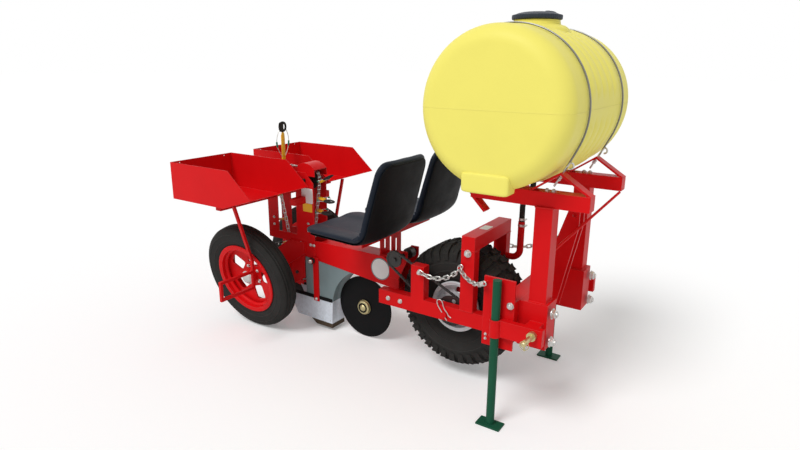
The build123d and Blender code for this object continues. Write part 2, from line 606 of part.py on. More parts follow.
with BuildPart() as rear_tie:
    block(TIE_X, (-RAIL_Y[0], RAIL_Y[0]), (RAIL_Z[0], RAIL_Z[0] + TIE_T))
save(rear_tie, "rail_cross_tie")

# Drive wheel: lugged tyre, dished rim and the sprocket on its hub
DRIVE_PLANE = wheel_plane((AXLE_X, 0, DRIVE_Z), 0, 1)
with BuildPart() as drive_tyre:
    base = DRIVE_R - LUG_H
    bead = DRIVE_BEAD - FIT
    turned(DRIVE_PLANE, both_ways((
        (DRIVE_BEAD_R, bead), (DRIVE_BEAD_R + DRIVE_TOE, bead),
        (DRIVE_BEAD_R + DRIVE_BULGE, DRIVE_HALF - DRIVE_TUCK[0]),
        (base - DRIVE_SHOULDER[0], DRIVE_HALF - DRIVE_TUCK[1]), (base, DRIVE_HALF - DRIVE_SHOULDER[1]))))
    for row, half_step in ((1, 0), (-1, 0.5)):
        outline = [(row * across, along) for across, along in LUG_OUTLINE]
        for i in range(LUG_COUNT):
            angle = radians(360 / LUG_COUNT * (i + half_step))
            spot = Plane((AXLE_X, 0, DRIVE_Z), x_dir=(0, 1, 0), z_dir=(sin(angle), 0, cos(angle)))
            with BuildSketch(spot.offset(base - LUG_ROOT)) as lug:
                with BuildLine():
                    Polyline(outline, close=True)
                make_face()
            extrude(lug.sketch, amount=LUG_ROOT + LUG_H - LUG_CROWN)
    turned(DRIVE_PLANE, both_ways(((DRIVE_R, 2 * DRIVE_HALF), (DRIVE_R + LUG_ROOT, 2 * DRIVE_HALF))), Mode.SUBTRACT)
save(drive_tyre, "drive_tyre")

with BuildPart() as drive_rim:
    rim_in = DRIVE_BEAD_R - RIM_T
    flange_r = DRIVE_BEAD_R + FLANGE_H
    turned(DRIVE_PLANE, both_ways((
        (rim_in, DRIVE_BEAD + FLANGE_T), (flange_r, DRIVE_BEAD + FLANGE_T), (flange_r, DRIVE_BEAD),
        (DRIVE_BEAD_R - FIT, DRIVE_BEAD))))
    disc_y, dish = DRIVE_DISC
    disc_r = (HUB_R - PLATE, rim_in + SHEET)
    turned(DRIVE_PLANE, ((disc_r[0], disc_y - dish), (disc_r[1], disc_y), (disc_r[1], disc_y + DISC_T),
                         (disc_r[0], disc_y - dish + DISC_T)))
    bore = DRIVE_AXLE_R + RUN
    ends = (SPROCKET_Y - HUB_NECK[0], HUB_Y[1] + HUB_NECK[1])
    turned(DRIVE_PLANE, ((bore, ends[0]), (HUB_NECK_R, ends[0]), (HUB_NECK_R, HUB_Y[0]), (HUB_R, HUB_Y[0]),
                         (HUB_R, HUB_Y[1]), (HUB_NECK_R, HUB_Y[1]), (HUB_NECK_R, ends[1]), (bore, ends[1])))
    with Locations(Plane((AXLE_X, 0, DRIVE_Z), z_dir=(0, 1, 0))):
        with PolarLocations((HUB_R + rim_in) / 2, DRIVE_HOLES[0]):
            Cylinder(DRIVE_HOLES[1], 2 * DRIVE_HALF, mode=Mode.SUBTRACT)
save(drive_rim, "drive_rim")

with BuildPart() as hub_sprocket:
    sprocket_face = Plane((AXLE_X, SPROCKET_Y + SPROCKET_T / 2, DRIVE_Z), z_dir=(0, -1, 0), x_dir=(1, 0, 0))
    with BuildSketch(sprocket_face) as wheel:
        Circle(HUB_SPROCKET_R)
        Circle(HUB_NECK_R + FIT, mode=Mode.SUBTRACT)
        with PolarLocations((HUB_SPROCKET_R + HUB_NECK_R) / 2, SPROCKET_HOLES[0]):
            Circle(SPROCKET_HOLES[1], mode=Mode.SUBTRACT)
    extrude(wheel.sketch, amount=SPROCKET_T)
save(hub_sprocket, "hub_sprocket")

with BuildPart() as drive_axle:
    cross_rod(AXLE_X, DRIVE_Z, (-RAIL_Y[1] - AXLE_END, RAIL_Y[1] + AXLE_END), DRIVE_AXLE_R)
save(drive_axle, "drive_axle")

# Main beam: a tapered box, open in front and round the planting chain behind
with BuildPart() as main_beam:
    side = ((BEAM_REAR, BEAM_REAR_LOW), (BEAM_FRONT, BEAM_FRONT_LOW), (BEAM_FRONT, BEAM_FRONT_TOP),
            (BEAM_SLOPE_X, BEAM_TOP), (BEAM_REAR, BEAM_TOP))
    side_profile(side, (-BEAM_HALF, BEAM_HALF))
    inside = ((BEAM_OPEN_X, beam_low(BEAM_OPEN_X) + PLATE), (BEAM_FRONT + PAST, BEAM_FRONT_LOW + PLATE),
              (BEAM_FRONT + PAST, BEAM_FRONT_TOP - PLATE), (BEAM_SLOPE_X, BEAM_TOP - PLATE),
              (BEAM_OPEN_X, BEAM_TOP - PLATE))
    side_profile(inside, (PLATE - BEAM_HALF, BEAM_HALF - PLATE), Mode.SUBTRACT)
    block((BEAM_REAR - PAST, BEAM_OPEN_X + PAST), (PLATE - BEAM_HALF, BEAM_HALF - PLATE),
          (BEAM_FRONT_LOW, BEAM_TOP + PAST), Mode.SUBTRACT)
save(main_beam, "main_beam")

# Jack shaft on the beam's nose, with its sprocket and the drive chain
with BuildPart() as jack:
    lap_z = (BEAM_FRONT_TOP - JACK_LAP, BEAM_FRONT_TOP)
    for _, s in SIDES:
        side_profile((
            (BEAM_FRONT - JACK_LAP, lap_z[0]), (BEAM_FRONT, lap_z[0]), (JACK_X + JACK_EYE, JACK_Z - JACK_EYE),
            (JACK_X + JACK_EYE, JACK_Z + JACK_EYE), (JACK_X - JACK_EYE, JACK_Z + JACK_EYE),
            (BEAM_FRONT - JACK_LAP, lap_z[1])), span(s, BEAM_HALF, BEAM_HALF + PLATE))
    cross_rod(JACK_X, JACK_Z, (-BEAM_HALF - 2 * PLATE, BEAM_HALF + 2 * PLATE), JACK_R + FIT, Mode.SUBTRACT)
save(jack, "jack_bracket")

with BuildPart() as jack_shaft:
    cross_rod(JACK_X, JACK_Z, (SPROCKET_Y - SHAFT_END[0], BEAM_HALF + SHAFT_END[1]), JACK_R)
    cross_rod(JACK_X, JACK_Z, (SPROCKET_Y - SPROCKET_T / 2, SPROCKET_Y + SPROCKET_T / 2), JACK_SPROCKET_R)
    cross_rod(JACK_X, JACK_Z, (-JACK_DRUM[1], JACK_DRUM[1]), JACK_DRUM[0])
save(jack_shaft, "jack_shaft")

with BuildPart() as drive_chain:
    chain_face = Plane((0, SPROCKET_Y + CHAIN_W / 2, 0), z_dir=(0, -1, 0), x_dir=(1, 0, 0))
    with BuildSketch(chain_face) as loop:
        with Locations((AXLE_X, DRIVE_Z)):
            Circle(HUB_SPROCKET_R + FIT + CHAIN_T)
        with Locations((JACK_X, JACK_Z)):
            Circle(JACK_SPROCKET_R + FIT + CHAIN_T)
        make_hull()
        offset(amount=-CHAIN_T, kind=Kind.INTERSECTION, mode=Mode.SUBTRACT)
    extrude(loop.sketch, amount=CHAIN_W)
save(drive_chain, "drive_chain")

# Seats: shells facing backwards, on a pedestal and a cross channel
SEAT_SHELL = (
    (SEAT_FRONT, SEAT_Z + 22), (SEAT_FRONT + 60, SEAT_Z), (SEAT_BEND - 40, SEAT_Z), (SEAT_BEND + 20, SEAT_Z + 40),
    (SEAT_TOP_X + SEAT_BACK[0], SEAT_TOP - SEAT_EDGE), (SEAT_TOP_X, SEAT_TOP),
    (SEAT_TOP_X - SEAT_BACK[1], SEAT_TOP - SEAT_EDGE), (SEAT_BEND - 30, SEAT_Z + 105), (SEAT_BEND - 70, SEAT_Z + 70),
    (SEAT_FRONT + 50, SEAT_Z + 55), (SEAT_FRONT + 8, SEAT_Z + 45))
for name, s in SIDES:
    width = SEAT_Y[1] - SEAT_Y[0]
    middle = s * (SEAT_Y[0] + SEAT_Y[1]) / 2
    with BuildPart() as seat:
        side_profile(SEAT_SHELL, span(s, *SEAT_Y))
        with BuildSketch(Plane((SEAT_FRONT + FAR / 2, middle, 0))) as plan:
            RectangleRounded(FAR, width, SEAT_CORNER)
        extrude(plan.sketch, amount=FAR, mode=Mode.INTERSECT)
        face = Plane((SEAT_FRONT, middle, SEAT_TOP - FAR / 2), x_dir=(0, 1, 0), z_dir=(1, 0, 0))
        with BuildSketch(face) as front_view:
            RectangleRounded(width, FAR, SEAT_CORNER)
        extrude(front_view.sketch, amount=FAR, mode=Mode.INTERSECT)
    save(seat, f"seat_{name}")

with BuildPart() as pedestal:
    column_y = (PEDESTAL_IN - BEAM_HALF, BEAM_HALF - PEDESTAL_IN)
    channel_z = (SEAT_Z - CHANNEL_H, SEAT_Z)
    channel_y = SEAT_Y[1] - CHANNEL_IN
    slot_half, slot_end = PEDESTAL_SLOT[0] / 2, PEDESTAL_SLOT[1]
    block(PEDESTAL_X, column_y, (BEAM_TOP, channel_z[0]))
    block((PEDESTAL_X[0] + WALL, PEDESTAL_X[1] - WALL), (-BEAM_HALF, BEAM_HALF),
          (BEAM_TOP + WALL, channel_z[0] - WALL), Mode.SUBTRACT)
    for x in PEDESTAL_X:
        block((x - WALL - PAST, x + WALL + PAST), (-slot_half, slot_half),
              (BEAM_TOP + slot_end, channel_z[0] - slot_end), Mode.SUBTRACT)
    lap = (PEDESTAL_X[0] - CHANNEL_LAP, PEDESTAL_X[1] + CHANNEL_LAP)
    block(lap, (-channel_y, channel_y), channel_z)
    block((lap[0] + WALL, lap[1] - WALL), (-channel_y - PAST, channel_y + PAST),
          (channel_z[0] - PAST, channel_z[1] - WALL), Mode.SUBTRACT)
    block(PEDESTAL_X, column_y, (channel_z[0] - WALL, channel_z[1] - WALL))
save(pedestal, "seat_pedestal")

# Planting tower: side plates on the beam, the loop's shafts and a round guard on top
LOOP_CENTRES = ((LOOP_FRONT_X, LOOP_TOP_Z), (LOOP_REAR_X, LOOP_TOP_Z), (LOOP_LOW_X, LOOP_LOW_Z))
LOOP_RUNS = tuple(zip(LOOP_CENTRES, LOOP_CENTRES[1:] + LOOP_CENTRES[:1]))
for name, s in SIDES:
    plate_y = span(s, BEAM_HALF, BEAM_HALF + PLATE)
    through = (plate_y[0] - PAST, plate_y[1] + PAST)
    corner_z = TOWER_TOP - TOWER_CORNER
    with BuildPart() as plate:
        side_profile((
            (TOWER_X[0], BEAM_REAR_LOW), (TOWER_X[1], BEAM_REAR_LOW), (TOWER_X[1], corner_z),
            (TOWER_X[1] - TOWER_CORNER, TOWER_TOP), (TOWER_X[0] + TOWER_CORNER, TOWER_TOP),
            (TOWER_X[0], corner_z)), plate_y)
        block(TOWER_WINDOW_X, through, TOWER_WINDOW_Z, Mode.SUBTRACT)
        block((TOWER_X[0] - PAST, BEAM_REAR - TOWER_NOTCH[0]), through,
              (BEAM_REAR_LOW - PAST, BEAM_TOP - TOWER_NOTCH[1]), Mode.SUBTRACT)
        side_profile((GUSSET_BACK, GUSSET_REAR, GUSSET_FRONT, (GUSSET_FRONT[0], BEAM_REAR_LOW)), plate_y)
        for x, z in LOOP_CENTRES:
            cross_rod(x, z, through, LOOP_SHAFT_R + FIT, Mode.SUBTRACT)
    save(plate, f"tower_plate_{name}")

with BuildPart() as loop_shafts:
    shaft_end = BEAM_HALF + PLATE + LOOP_SHAFT_END
    for x, z in LOOP_CENTRES:
        cross_rod(x, z, (-shaft_end, shaft_end), LOOP_SHAFT_R)
        cross_rod(x, z, (-SPROCKET_T / 2, SPROCKET_T / 2), LOOP_R)
save(loop_shafts, "loop_sprockets")

with BuildPart() as planting_loop:
    with BuildSketch(Plane((0, LOOP_W / 2, 0), z_dir=(0, -1, 0), x_dir=(1, 0, 0))) as band:
        with Locations(*LOOP_CENTRES):
            Circle(LOOP_R + FIT + LOOP_T)
        make_hull()
        offset(amount=-LOOP_T, kind=Kind.INTERSECTION, mode=Mode.SUBTRACT)
    extrude(band.sketch, amount=LOOP_W)
save(planting_loop, "planting_chain")

# Planting clips: an arm out from the chain and a gripping pad on its end
clips = []
for run, share, lean, length in CLIPS:
    (x0, z0), (x1, z1) = LOOP_RUNS[run]
    along = Vector(x1 - x0, 0, z1 - z0).normalized()
    outward = Vector(along.Z, 0, -along.X)
    lift = LOOP_R + LOOP_T + 2 * FIT + CLIP_ARM[1] / 2 * sin(radians(lean))
    foot = Vector(x0, 0, z0) * (1 - share) + Vector(x1, 0, z1) * share + outward * lift
    reach = outward * cos(radians(lean)) + along * sin(radians(lean))
    clips.append((Plane(foot, x_dir=(0, 1, 0), z_dir=reach), length))
with BuildPart() as clip_arms:
    for clip, length in clips:
        with Locations(clip):
            Box(*CLIP_ARM, length, align=(Align.CENTER, Align.CENTER, Align.MIN))
save(clip_arms, "clip_arms")

with BuildPart() as clip_pads:
    for clip, length in clips:
        with Locations(clip.offset(length)):
            Box(*CLIP_PAD, align=(Align.CENTER, Align.CENTER, Align.MIN))
save(clip_pads, "clip_pads")

with BuildPart() as guard:
    half = BEAM_HALF - FIT
    rim = [(GUARD_R * cos(radians(turn)), GUARD_R * sin(radians(turn))) for turn in (GUARD_ARC[0], sum(GUARD_ARC))]
    with BuildSketch(Plane((LOOP_FRONT_X, half, LOOP_TOP_Z), z_dir=(0, -1, 0), x_dir=(1, 0, 0))) as hood:
        with BuildLine():
            CenterArc((0, 0), GUARD_R, *GUARD_ARC)
            Polyline(rim[1], (rim[1][0], GUARD_LOW), (rim[0][0], GUARD_LOW), rim[0])
        make_face()
    extrude(hood.sketch, amount=2 * half)
    with BuildSketch(Plane((LOOP_FRONT_X, half - SHEET, LOOP_TOP_Z), z_dir=(0, -1, 0), x_dir=(1, 0, 0))) as inside:
        Circle(GUARD_R - SHEET)
    extrude(inside.sketch, amount=2 * (half - SHEET), mode=Mode.SUBTRACT)
save(guard, "tower_guard")

# Trays: sheet boxes for the seedlings, low in front where the planter reaches in
for name, s in SIDES:
    with BuildPart() as tray:
        side_profile(((TRAY_REAR, TRAY_FLOOR), (TRAY_FLOOR_X, TRAY_FLOOR), (TRAY_LIP_X, TRAY_LIP),
                      (TRAY_RIM_X, TRAY_RIM), (TRAY_REAR, TRAY_RIM)), span(s, *TRAY_Y))
        open_z = TRAY_RIM + PAST
        side_profile(((TRAY_REAR + SHEET, TRAY_FLOOR + SHEET), (TRAY_FLOOR_X, TRAY_FLOOR + SHEET),
                      (TRAY_LIP_X, TRAY_LIP + SHEET), (TRAY_LIP_X, open_z), (TRAY_REAR + SHEET, open_z)),
                     span(s, TRAY_Y[0] + SHEET, TRAY_Y[1] - SHEET), Mode.SUBTRACT)
    save(tray, f"tray_{name}")

    # Foot rest: a bar bent in under the tray, with a square step outside the wheel
    half = STEP_BAR / 2
    inner, outer = s * (STEP_Y[0] + half), s * STEP_Y[1]
    with BuildPart() as step:
        with BuildSketch(Plane.YZ.offset(STEP_X - half)) as bent:
            with BuildLine():
                Polyline(
                    (s * (STEP_TOP_Y - half), STEP_TOP), (s * (STEP_Y[0] - half), STEP_BEND),
                    (s * (STEP_Y[0] - half), STEP_Z[0]), (outer, STEP_Z[0]), (outer, STEP_Z[1]),
                    (inner, STEP_Z[1]), (inner, STEP_BEND), (s * (STEP_TOP_Y + half), STEP_TOP), close=True)
            make_face()
            with BuildLine():
                Polyline(
                    (inner, STEP_Z[0] + STEP_BAR), (outer - s * STEP_BAR, STEP_Z[0] + STEP_BAR),
                    (outer - s * STEP_BAR, STEP_Z[1] - STEP_BAR), (inner, STEP_Z[1] - STEP_BAR), close=True)
            make_face(mode=Mode.SUBTRACT)
        extrude(bent.sketch, amount=STEP_BAR)
    save(step, f"foot_rest_{name}")

with BuildPart() as carriers:
    for _, s in SIDES:
        for x, reach in zip(CARRIER_X, (TRAY_Y[1] - CARRIER_LAP, TRAY_Y[0] + CARRIER_LAP)):
            block((x - CARRIER_W / 2, x + CARRIER_W / 2), span(s, BEAM_HALF + PLATE, reach),
                  (TRAY_FLOOR - CARRIER_W, TRAY_FLOOR))
save(carriers, "tray_carriers")

# Packing wheels: tyre, pierced rim, stub axle and the arm from the beam's tail
for name, s in SIDES:
    plane = wheel_plane((AXLE_X - PACK_BACK, s * PACK_Y, PACK_Z), PACK_LEAN, s)
    with BuildPart() as pack_tyre:
        turned(plane, both_ways((
            (PACK_BEAD_R, PACK_BEAD), (PACK_BEAD_R + PACK_BULGE, PACK_HALF),
            (PACK_R - PACK_SHOULDER[0], PACK_HALF - PACK_SHOULDER[1]), (PACK_R, PACK_TREAD))))
    save(pack_tyre, f"packing_tyre_{name}")

    with BuildPart() as pack_rim:
        flange_y, flange_h = PACK_FLANGE
        rim_in = PACK_BEAD_R - PACK_RIM_T
        turned(plane, both_ways((
            (rim_in, flange_y + FLANGE_T), (PACK_BEAD_R + flange_h, flange_y + FLANGE_T),
            (PACK_BEAD_R + flange_h, flange_y), (PACK_BEAD_R - FIT, flange_y))))
        disc_r = (PACK_HUB_R - SHEET, rim_in + SHEET)
        turned(plane, ((disc_r[0], -DISC_T / 2 - PACK_DISH), (disc_r[1], -DISC_T / 2), (disc_r[1], DISC_T / 2),
                       (disc_r[0], DISC_T / 2 - PACK_DISH)))
        bore = PACK_AXLE_R + RUN
        turned(plane, ((bore, PACK_HUB_Y[0]), (PACK_HUB_R, PACK_HUB_Y[0]), (PACK_HUB_R, PACK_HUB_Y[1]),
                       (bore, PACK_HUB_Y[1])))
        disc = Plane(plane.origin, x_dir=(1, 0, 0), z_dir=plane.y_dir)
        count, *window = PACK_WINDOWS
        with BuildSketch(disc.offset(-PACK_HALF)) as windows:
            with PolarLocations((PACK_HUB_R + rim_in) / 2, count):
                RectangleRounded(*window)
        extrude(windows.sketch, amount=2 * PACK_HALF, mode=Mode.SUBTRACT)
    save(pack_rim, f"packing_rim_{name}")

    inner = plane.origin - plane.y_dir * PACK_STUB[1]
    foot_half, foot_low, foot_high = PACK_FOOT
    foot_x = (inner.X - foot_half, inner.X + foot_half)
    lap_z = (BEAM_REAR_LOW + 2 * PLATE, BEAM_TOP - STRUT_LAP)
    with BuildPart() as pack_axle:
        rod(tuple(plane.origin + plane.y_dir * PACK_STUB[0]), tuple(inner), PACK_AXLE_R)
        collar_y = PACK_HUB_Y[0] - PAST
        rod(tuple(plane.origin + plane.y_dir * collar_y),
            tuple(plane.origin + plane.y_dir * (collar_y - PACK_COLLAR[1])), PACK_COLLAR[0])
        side_profile((
            (BEAM_REAR + PACK_ARM[0], lap_z[0]), (BEAM_REAR + PACK_ARM[0], lap_z[1]),
            (BEAM_REAR - PACK_ARM[1], lap_z[1]), (foot_x[0], PACK_Z + foot_high + 2 * PLATE),
            (foot_x[0], PACK_Z - foot_low), (foot_x[1], PACK_Z - foot_low)),
            span(s, BEAM_HALF + PLATE, BEAM_HALF + 3 * PLATE))
        block(foot_x, span(s, BEAM_HALF + PLATE, abs(inner.Y) + DISC_T), (PACK_Z - foot_low, PACK_Z + foot_high))
    save(pack_axle, f"packing_arm_{name}")

# Coulter: a plain disc ahead of the shoe, on an arm at its left
with BuildPart() as coulter_disc:
    cross_rod(COULTER_X, COULTER_Z, (-COULTER_T / 2, COULTER_T / 2), COULTER_R)
    chamfer(coulter_disc.edges().filter_by(GeomType.CIRCLE), length=COULTER_EDGE[0], length2=COULTER_EDGE[1])
    cross_rod(COULTER_X, COULTER_Z, COULTER_HUB_Y, COULTER_HUB_R)
    cross_rod(COULTER_X, COULTER_Z, (-COULTER_FLANGE[1], COULTER_FLANGE[1]), COULTER_FLANGE[0])
    cross_rod(COULTER_X, COULTER_Z, (COULTER_PIN_Y[0] - 2 * PAST, COULTER_HUB_Y[1] + PAST), COULTER_PIN_R + RUN,
              Mode.SUBTRACT)
save(coulter_disc, "coulter_disc")

with BuildPart() as coulter_arm:
    cross_rod(COULTER_X, COULTER_Z, COULTER_PIN_Y, COULTER_PIN_R)
    arm_x = (COULTER_X - COULTER_ARM_HALF, COULTER_X + COULTER_ARM_HALF)
    side_profile(((arm_x[0], COULTER_Z - COULTER_ARM_HALF), (arm_x[1], COULTER_Z - COULTER_ARM_HALF),
                  (arm_x[1], beam_low(arm_x[1]) - FIT), (arm_x[0], beam_low(arm_x[0]) - FIT)), COULTER_ARM_Y)
save(coulter_arm, "coulter_arm")

# Furrow shoe: wedge frame behind the coulter, bright skirts and a runner below
ARC_R = COULTER_R + COULTER_GAP


def coulter_arc(z):
    """X of the arc that clears the coulter's rear edge, at a height."""
    return COULTER_X - sqrt(ARC_R**2 - (z - COULTER_Z) ** 2)


SHOE_STEP_Z = SHOE_REAR_TOP[1]
SHOE_FRONT_X = coulter_arc(SHOE_STEP_Z)
SKIRT_LOW = SHOE_REAR_LOW[1] - SKIRT_NOSE[1]
SHOE_INSIDE = (SHOE_T - SHOE_HALF, SHOE_HALF - SHOE_T)
with BuildPart() as shoe_frame:
    nose = (SHOE_NOSE_X, beam_low(SHOE_NOSE_X) - FIT)
    with BuildSketch(Plane.XZ.offset(-SHOE_HALF)) as wedge:
        with BuildLine():
            Polyline(nose, (SHOE_FRAME_REAR, beam_low(SHOE_FRAME_REAR) - FIT), (SHOE_FRAME_REAR, SHOE_STEP_Z),
                     (SHOE_FRONT_X, SHOE_STEP_Z))
            ThreePointArc((SHOE_FRONT_X, SHOE_STEP_Z), (coulter_arc(SHOE_ARC_Z), SHOE_ARC_Z), nose)
        make_face()
    extrude(wedge.sketch, amount=2 * SHOE_HALF)
    block((SHOE_FRAME_REAR - PAST, SHOE_NOSE_X - SHOE_FRAME_OPEN), SHOE_INSIDE,
          (SHOE_STEP_Z - PAST, BEAM_TOP), Mode.SUBTRACT)
save(shoe_frame, "shoe_frame")

with BuildPart() as shoe_skirt:
    side_profile((SHOE_REAR_TOP, SHOE_REAR_LOW, (SHOE_FRONT_X - SKIRT_NOSE[0], SKIRT_LOW), (SHOE_FRONT_X, SHOE_STEP_Z)),
                 (-SHOE_HALF, SHOE_HALF))
    block((SHOE_REAR_TOP[0] - PAST, SHOE_FRONT_X - SKIRT_OPEN), SHOE_INSIDE,
          (SKIRT_LOW - PAST, SHOE_STEP_Z + PAST), Mode.SUBTRACT)
save(shoe_skirt, "shoe_skirt")

with BuildPart() as runner:
    runner_top = SKIRT_LOW - FIT
    side_profile(((RUNNER_X[0], RUNNER_LOW), (RUNNER_X[1], RUNNER_LOW), (SHOE_FRONT_X - SKIRT_NOSE[0], runner_top),
                  (RUNNER_X[0] - RUNNER_HEEL, runner_top)), (-SHOE_HALF, SHOE_HALF))
save(runner, "shoe_runner")

with BuildPart() as strut:
    strut_top = BEAM_REAR_LOW - FIT
    for _, s in SIDES:
        block(STRUT_X, span(s, SHOE_HALF, SHOE_HALF + STRUT_T), (SHOE_STEP_Z - STRUT_LAP, strut_top))
        cross_rod(STRUT_X[0], strut_top - STRUT_LAP, (s * SHOE_HALF, s * (SHOE_HALF + STRUT_BUSH[1])), STRUT_BUSH[0])
save(strut, "shoe_struts")

# Water line: hose from the tank, and a pipe down to the arch
HOSE = ((OUTLET_X, OUTLET_Y, outlet_low), (OUTLET_X, OUTLET_Y, 1000), (WATER_X, OUTLET_Y, 900),
        (WATER_X, OUTLET_Y, JOIN_Z))
PIPE = ((WATER_X, OUTLET_Y, JOIN_Z), (WATER_X, OUTLET_Y, PIPE_Z), (ARCH_X[1], OUTLET_Y, PIPE_Z))
for label, route, radius in (("water_hose", HOSE, HOSE_R), ("water_pipe", PIPE, PIPE_R)):
    with BuildPart() as water:
        with BuildLine() as path:
            FilletPolyline(*route, radius=WATER_BEND)
        with BuildSketch(Plane(path.line @ 0, z_dir=path.line % 0)) as bore:
            Circle(radius)
        sweep(bore.sketch, path=path.line)
    save(water, label)
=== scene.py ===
"""Looks of a bare root transplanter: finishes, moulded and turned pieces, chains and fasteners.

Laid out as an add-on and run as a script. Metres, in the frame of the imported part:
+X to the tractor, +Y to the left, +Z up, the floor at Z = 0.
"""

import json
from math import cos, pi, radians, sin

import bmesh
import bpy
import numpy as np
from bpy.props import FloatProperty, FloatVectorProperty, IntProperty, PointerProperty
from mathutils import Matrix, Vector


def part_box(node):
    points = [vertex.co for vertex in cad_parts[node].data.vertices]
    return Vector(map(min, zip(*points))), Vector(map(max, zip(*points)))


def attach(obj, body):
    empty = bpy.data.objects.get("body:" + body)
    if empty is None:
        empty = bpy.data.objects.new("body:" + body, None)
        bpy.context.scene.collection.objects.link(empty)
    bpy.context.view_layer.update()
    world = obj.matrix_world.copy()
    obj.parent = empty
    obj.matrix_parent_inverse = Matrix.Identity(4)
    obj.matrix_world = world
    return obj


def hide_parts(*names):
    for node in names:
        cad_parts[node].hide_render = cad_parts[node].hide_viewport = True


bl_info = {
    "name": "Transplanter looks",
    "version": (1, 0, 0),
    "blender": (4, 5, 0),
    "location": "View3D > Sidebar > Planter",
    "description": "Finishes and fine pieces for a two-seat transplanter",
    "category": "Object",
}

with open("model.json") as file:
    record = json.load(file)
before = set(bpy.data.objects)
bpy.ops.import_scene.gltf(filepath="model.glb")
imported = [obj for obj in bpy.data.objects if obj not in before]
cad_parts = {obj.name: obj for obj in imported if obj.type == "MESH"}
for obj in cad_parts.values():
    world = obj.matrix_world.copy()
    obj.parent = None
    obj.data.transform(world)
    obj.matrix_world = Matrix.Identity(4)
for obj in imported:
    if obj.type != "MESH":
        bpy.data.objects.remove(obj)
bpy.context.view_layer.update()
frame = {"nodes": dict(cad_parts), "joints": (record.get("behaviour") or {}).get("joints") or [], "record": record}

SIDES = (("left", 1), ("right", -1))
ROOT = "frame"
UP = np.array((0.0, 0.0, 1.0))
ACROSS = np.array((0.0, 1.0, 0.0))
AHEAD = np.array((1.0, 0.0, 0.0))
JOINTS = {joint["name"]: joint for joint in frame["joints"]}

# Sizes and faces inside nodes, which their boxes don't give; faces are distances from the middle plane
BRACKET_FACE = 0.3605
RAIL_FACE = 0.2092
SHOE_FACE = 0.0665
RAIL_BOLT_Z = 0.394
ARCH_TUBE = 0.051
PEDESTAL_HALF = 0.046
HOSE_R = 0.014
PIPE_R = 0.017


# Reading the frame

def box(node):
    """Lowest and highest corner of a node, as arrays."""
    low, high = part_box(node)
    return np.array(low), np.array(high)


def middle(node):
    """Middle of a node's box."""
    return np.mean(box(node), axis=0)


def node_points(node):
    """All corners of a node's mesh, one row each."""
    mesh = frame["nodes"][node].data
    points = np.zeros(len(mesh.vertices) * 3)
    mesh.vertices.foreach_get("co", points)
    return points.reshape(-1, 3)


def end_face(node, axis, top=True):
    """Lowest and highest of the corners that lie on one end of a node along an axis."""
    points = node_points(node)
    at = points[:, axis].max() if top else points[:, axis].min()
    on = points[np.abs(points[:, axis] - at) < 1e-4]
    return on.min(0), on.max(0)


def islands(node):
    """The separate solids of a node, each as an array of its corners."""
    work = bmesh.new()
    work.from_mesh(frame["nodes"][node].data)
    bmesh.ops.remove_doubles(work, verts=work.verts, dist=1e-5)
    left = set(work.verts)
    found = []
    while left:
        front = [left.pop()]
        solid = []
        while front:
            vertex = front.pop()
            solid.append(tuple(vertex.co))
            near = {edge.other_vert(vertex) for edge in vertex.link_edges} & left
            left -= near
            front.extend(near)
        found.append(np.array(sorted(solid)))
    work.free()
    return sorted(found, key=lambda points: tuple(points.mean(0).round(4)))


def principal(points):
    """Centre, axes (longest first, one per row) and half sizes of a solid, from its corners' spread."""
    axes = np.linalg.eigh(np.cov((points - points.mean(0)).T))[1].T[::-1]
    along = (points - points.mean(0)) @ axes.T
    centre = points.mean(0) + (along.min(0) + along.max(0)) / 2 @ axes
    return centre, axes, (along.max(0) - along.min(0)) / 2


# Surfaces worked out as arrays

def grid_faces(rows, columns, wrap_rows=False):
    """Quads of a grid of points kept row by row, closed along each row and, if asked, across the rows."""
    row = np.arange(rows if wrap_rows else rows - 1)
    row, column = np.meshgrid(row, np.arange(columns), indexing="ij")
    here, below = row * columns, (row + 1) % rows * columns
    beside = (column + 1) % columns
    corners = (here + column, here + beside, below + beside, below + column)
    return np.stack(corners, -1).reshape(-1, 4)


def closed(points, faces):
    """A shell of quads with its faces turned outwards: the sum of its signed tetrahedra is its volume."""
    a, b, c, d = (points[faces[:, i]] for i in range(4))
    volume = np.einsum("ij,ij->", a, np.cross(b, c)) + np.einsum("ij,ij->", a, np.cross(c, d))
    return points, faces if volume > 0 else faces[:, ::-1]


def holed(outer, inner, faces, hole):
    """A shell of two walls with one hole: faces with all corners in the hole go, and its edges are joined.

    An edge of the hole belongs to one face only, so it isn't found among the edges in the other order.
    """
    count = len(outer)
    kept = faces[~hole[faces].all(1)]
    edges = np.concatenate([kept[:, (i, (i + 1) % 4)] for i in range(4)])
    lone = ~np.isin(edges @ (count, 1), edges @ (1, count))
    rim = edges[lone & hole[edges].all(1)]
    lip = np.stack((rim[:, 1], rim[:, 0], rim[:, 0] + count, rim[:, 1] + count), 1)
    return closed(np.concatenate((outer, inner)), np.concatenate((kept, kept[:, ::-1] + count, lip)))


def square_to(axis):
    """Two unit vectors square to an axis and to each other."""
    axis = np.asarray(axis, float)
    hint = UP if abs(axis[2]) < 0.9 else AHEAD
    first = np.cross(hint, axis)
    first /= np.linalg.norm(first)
    return first, np.cross(axis, first)


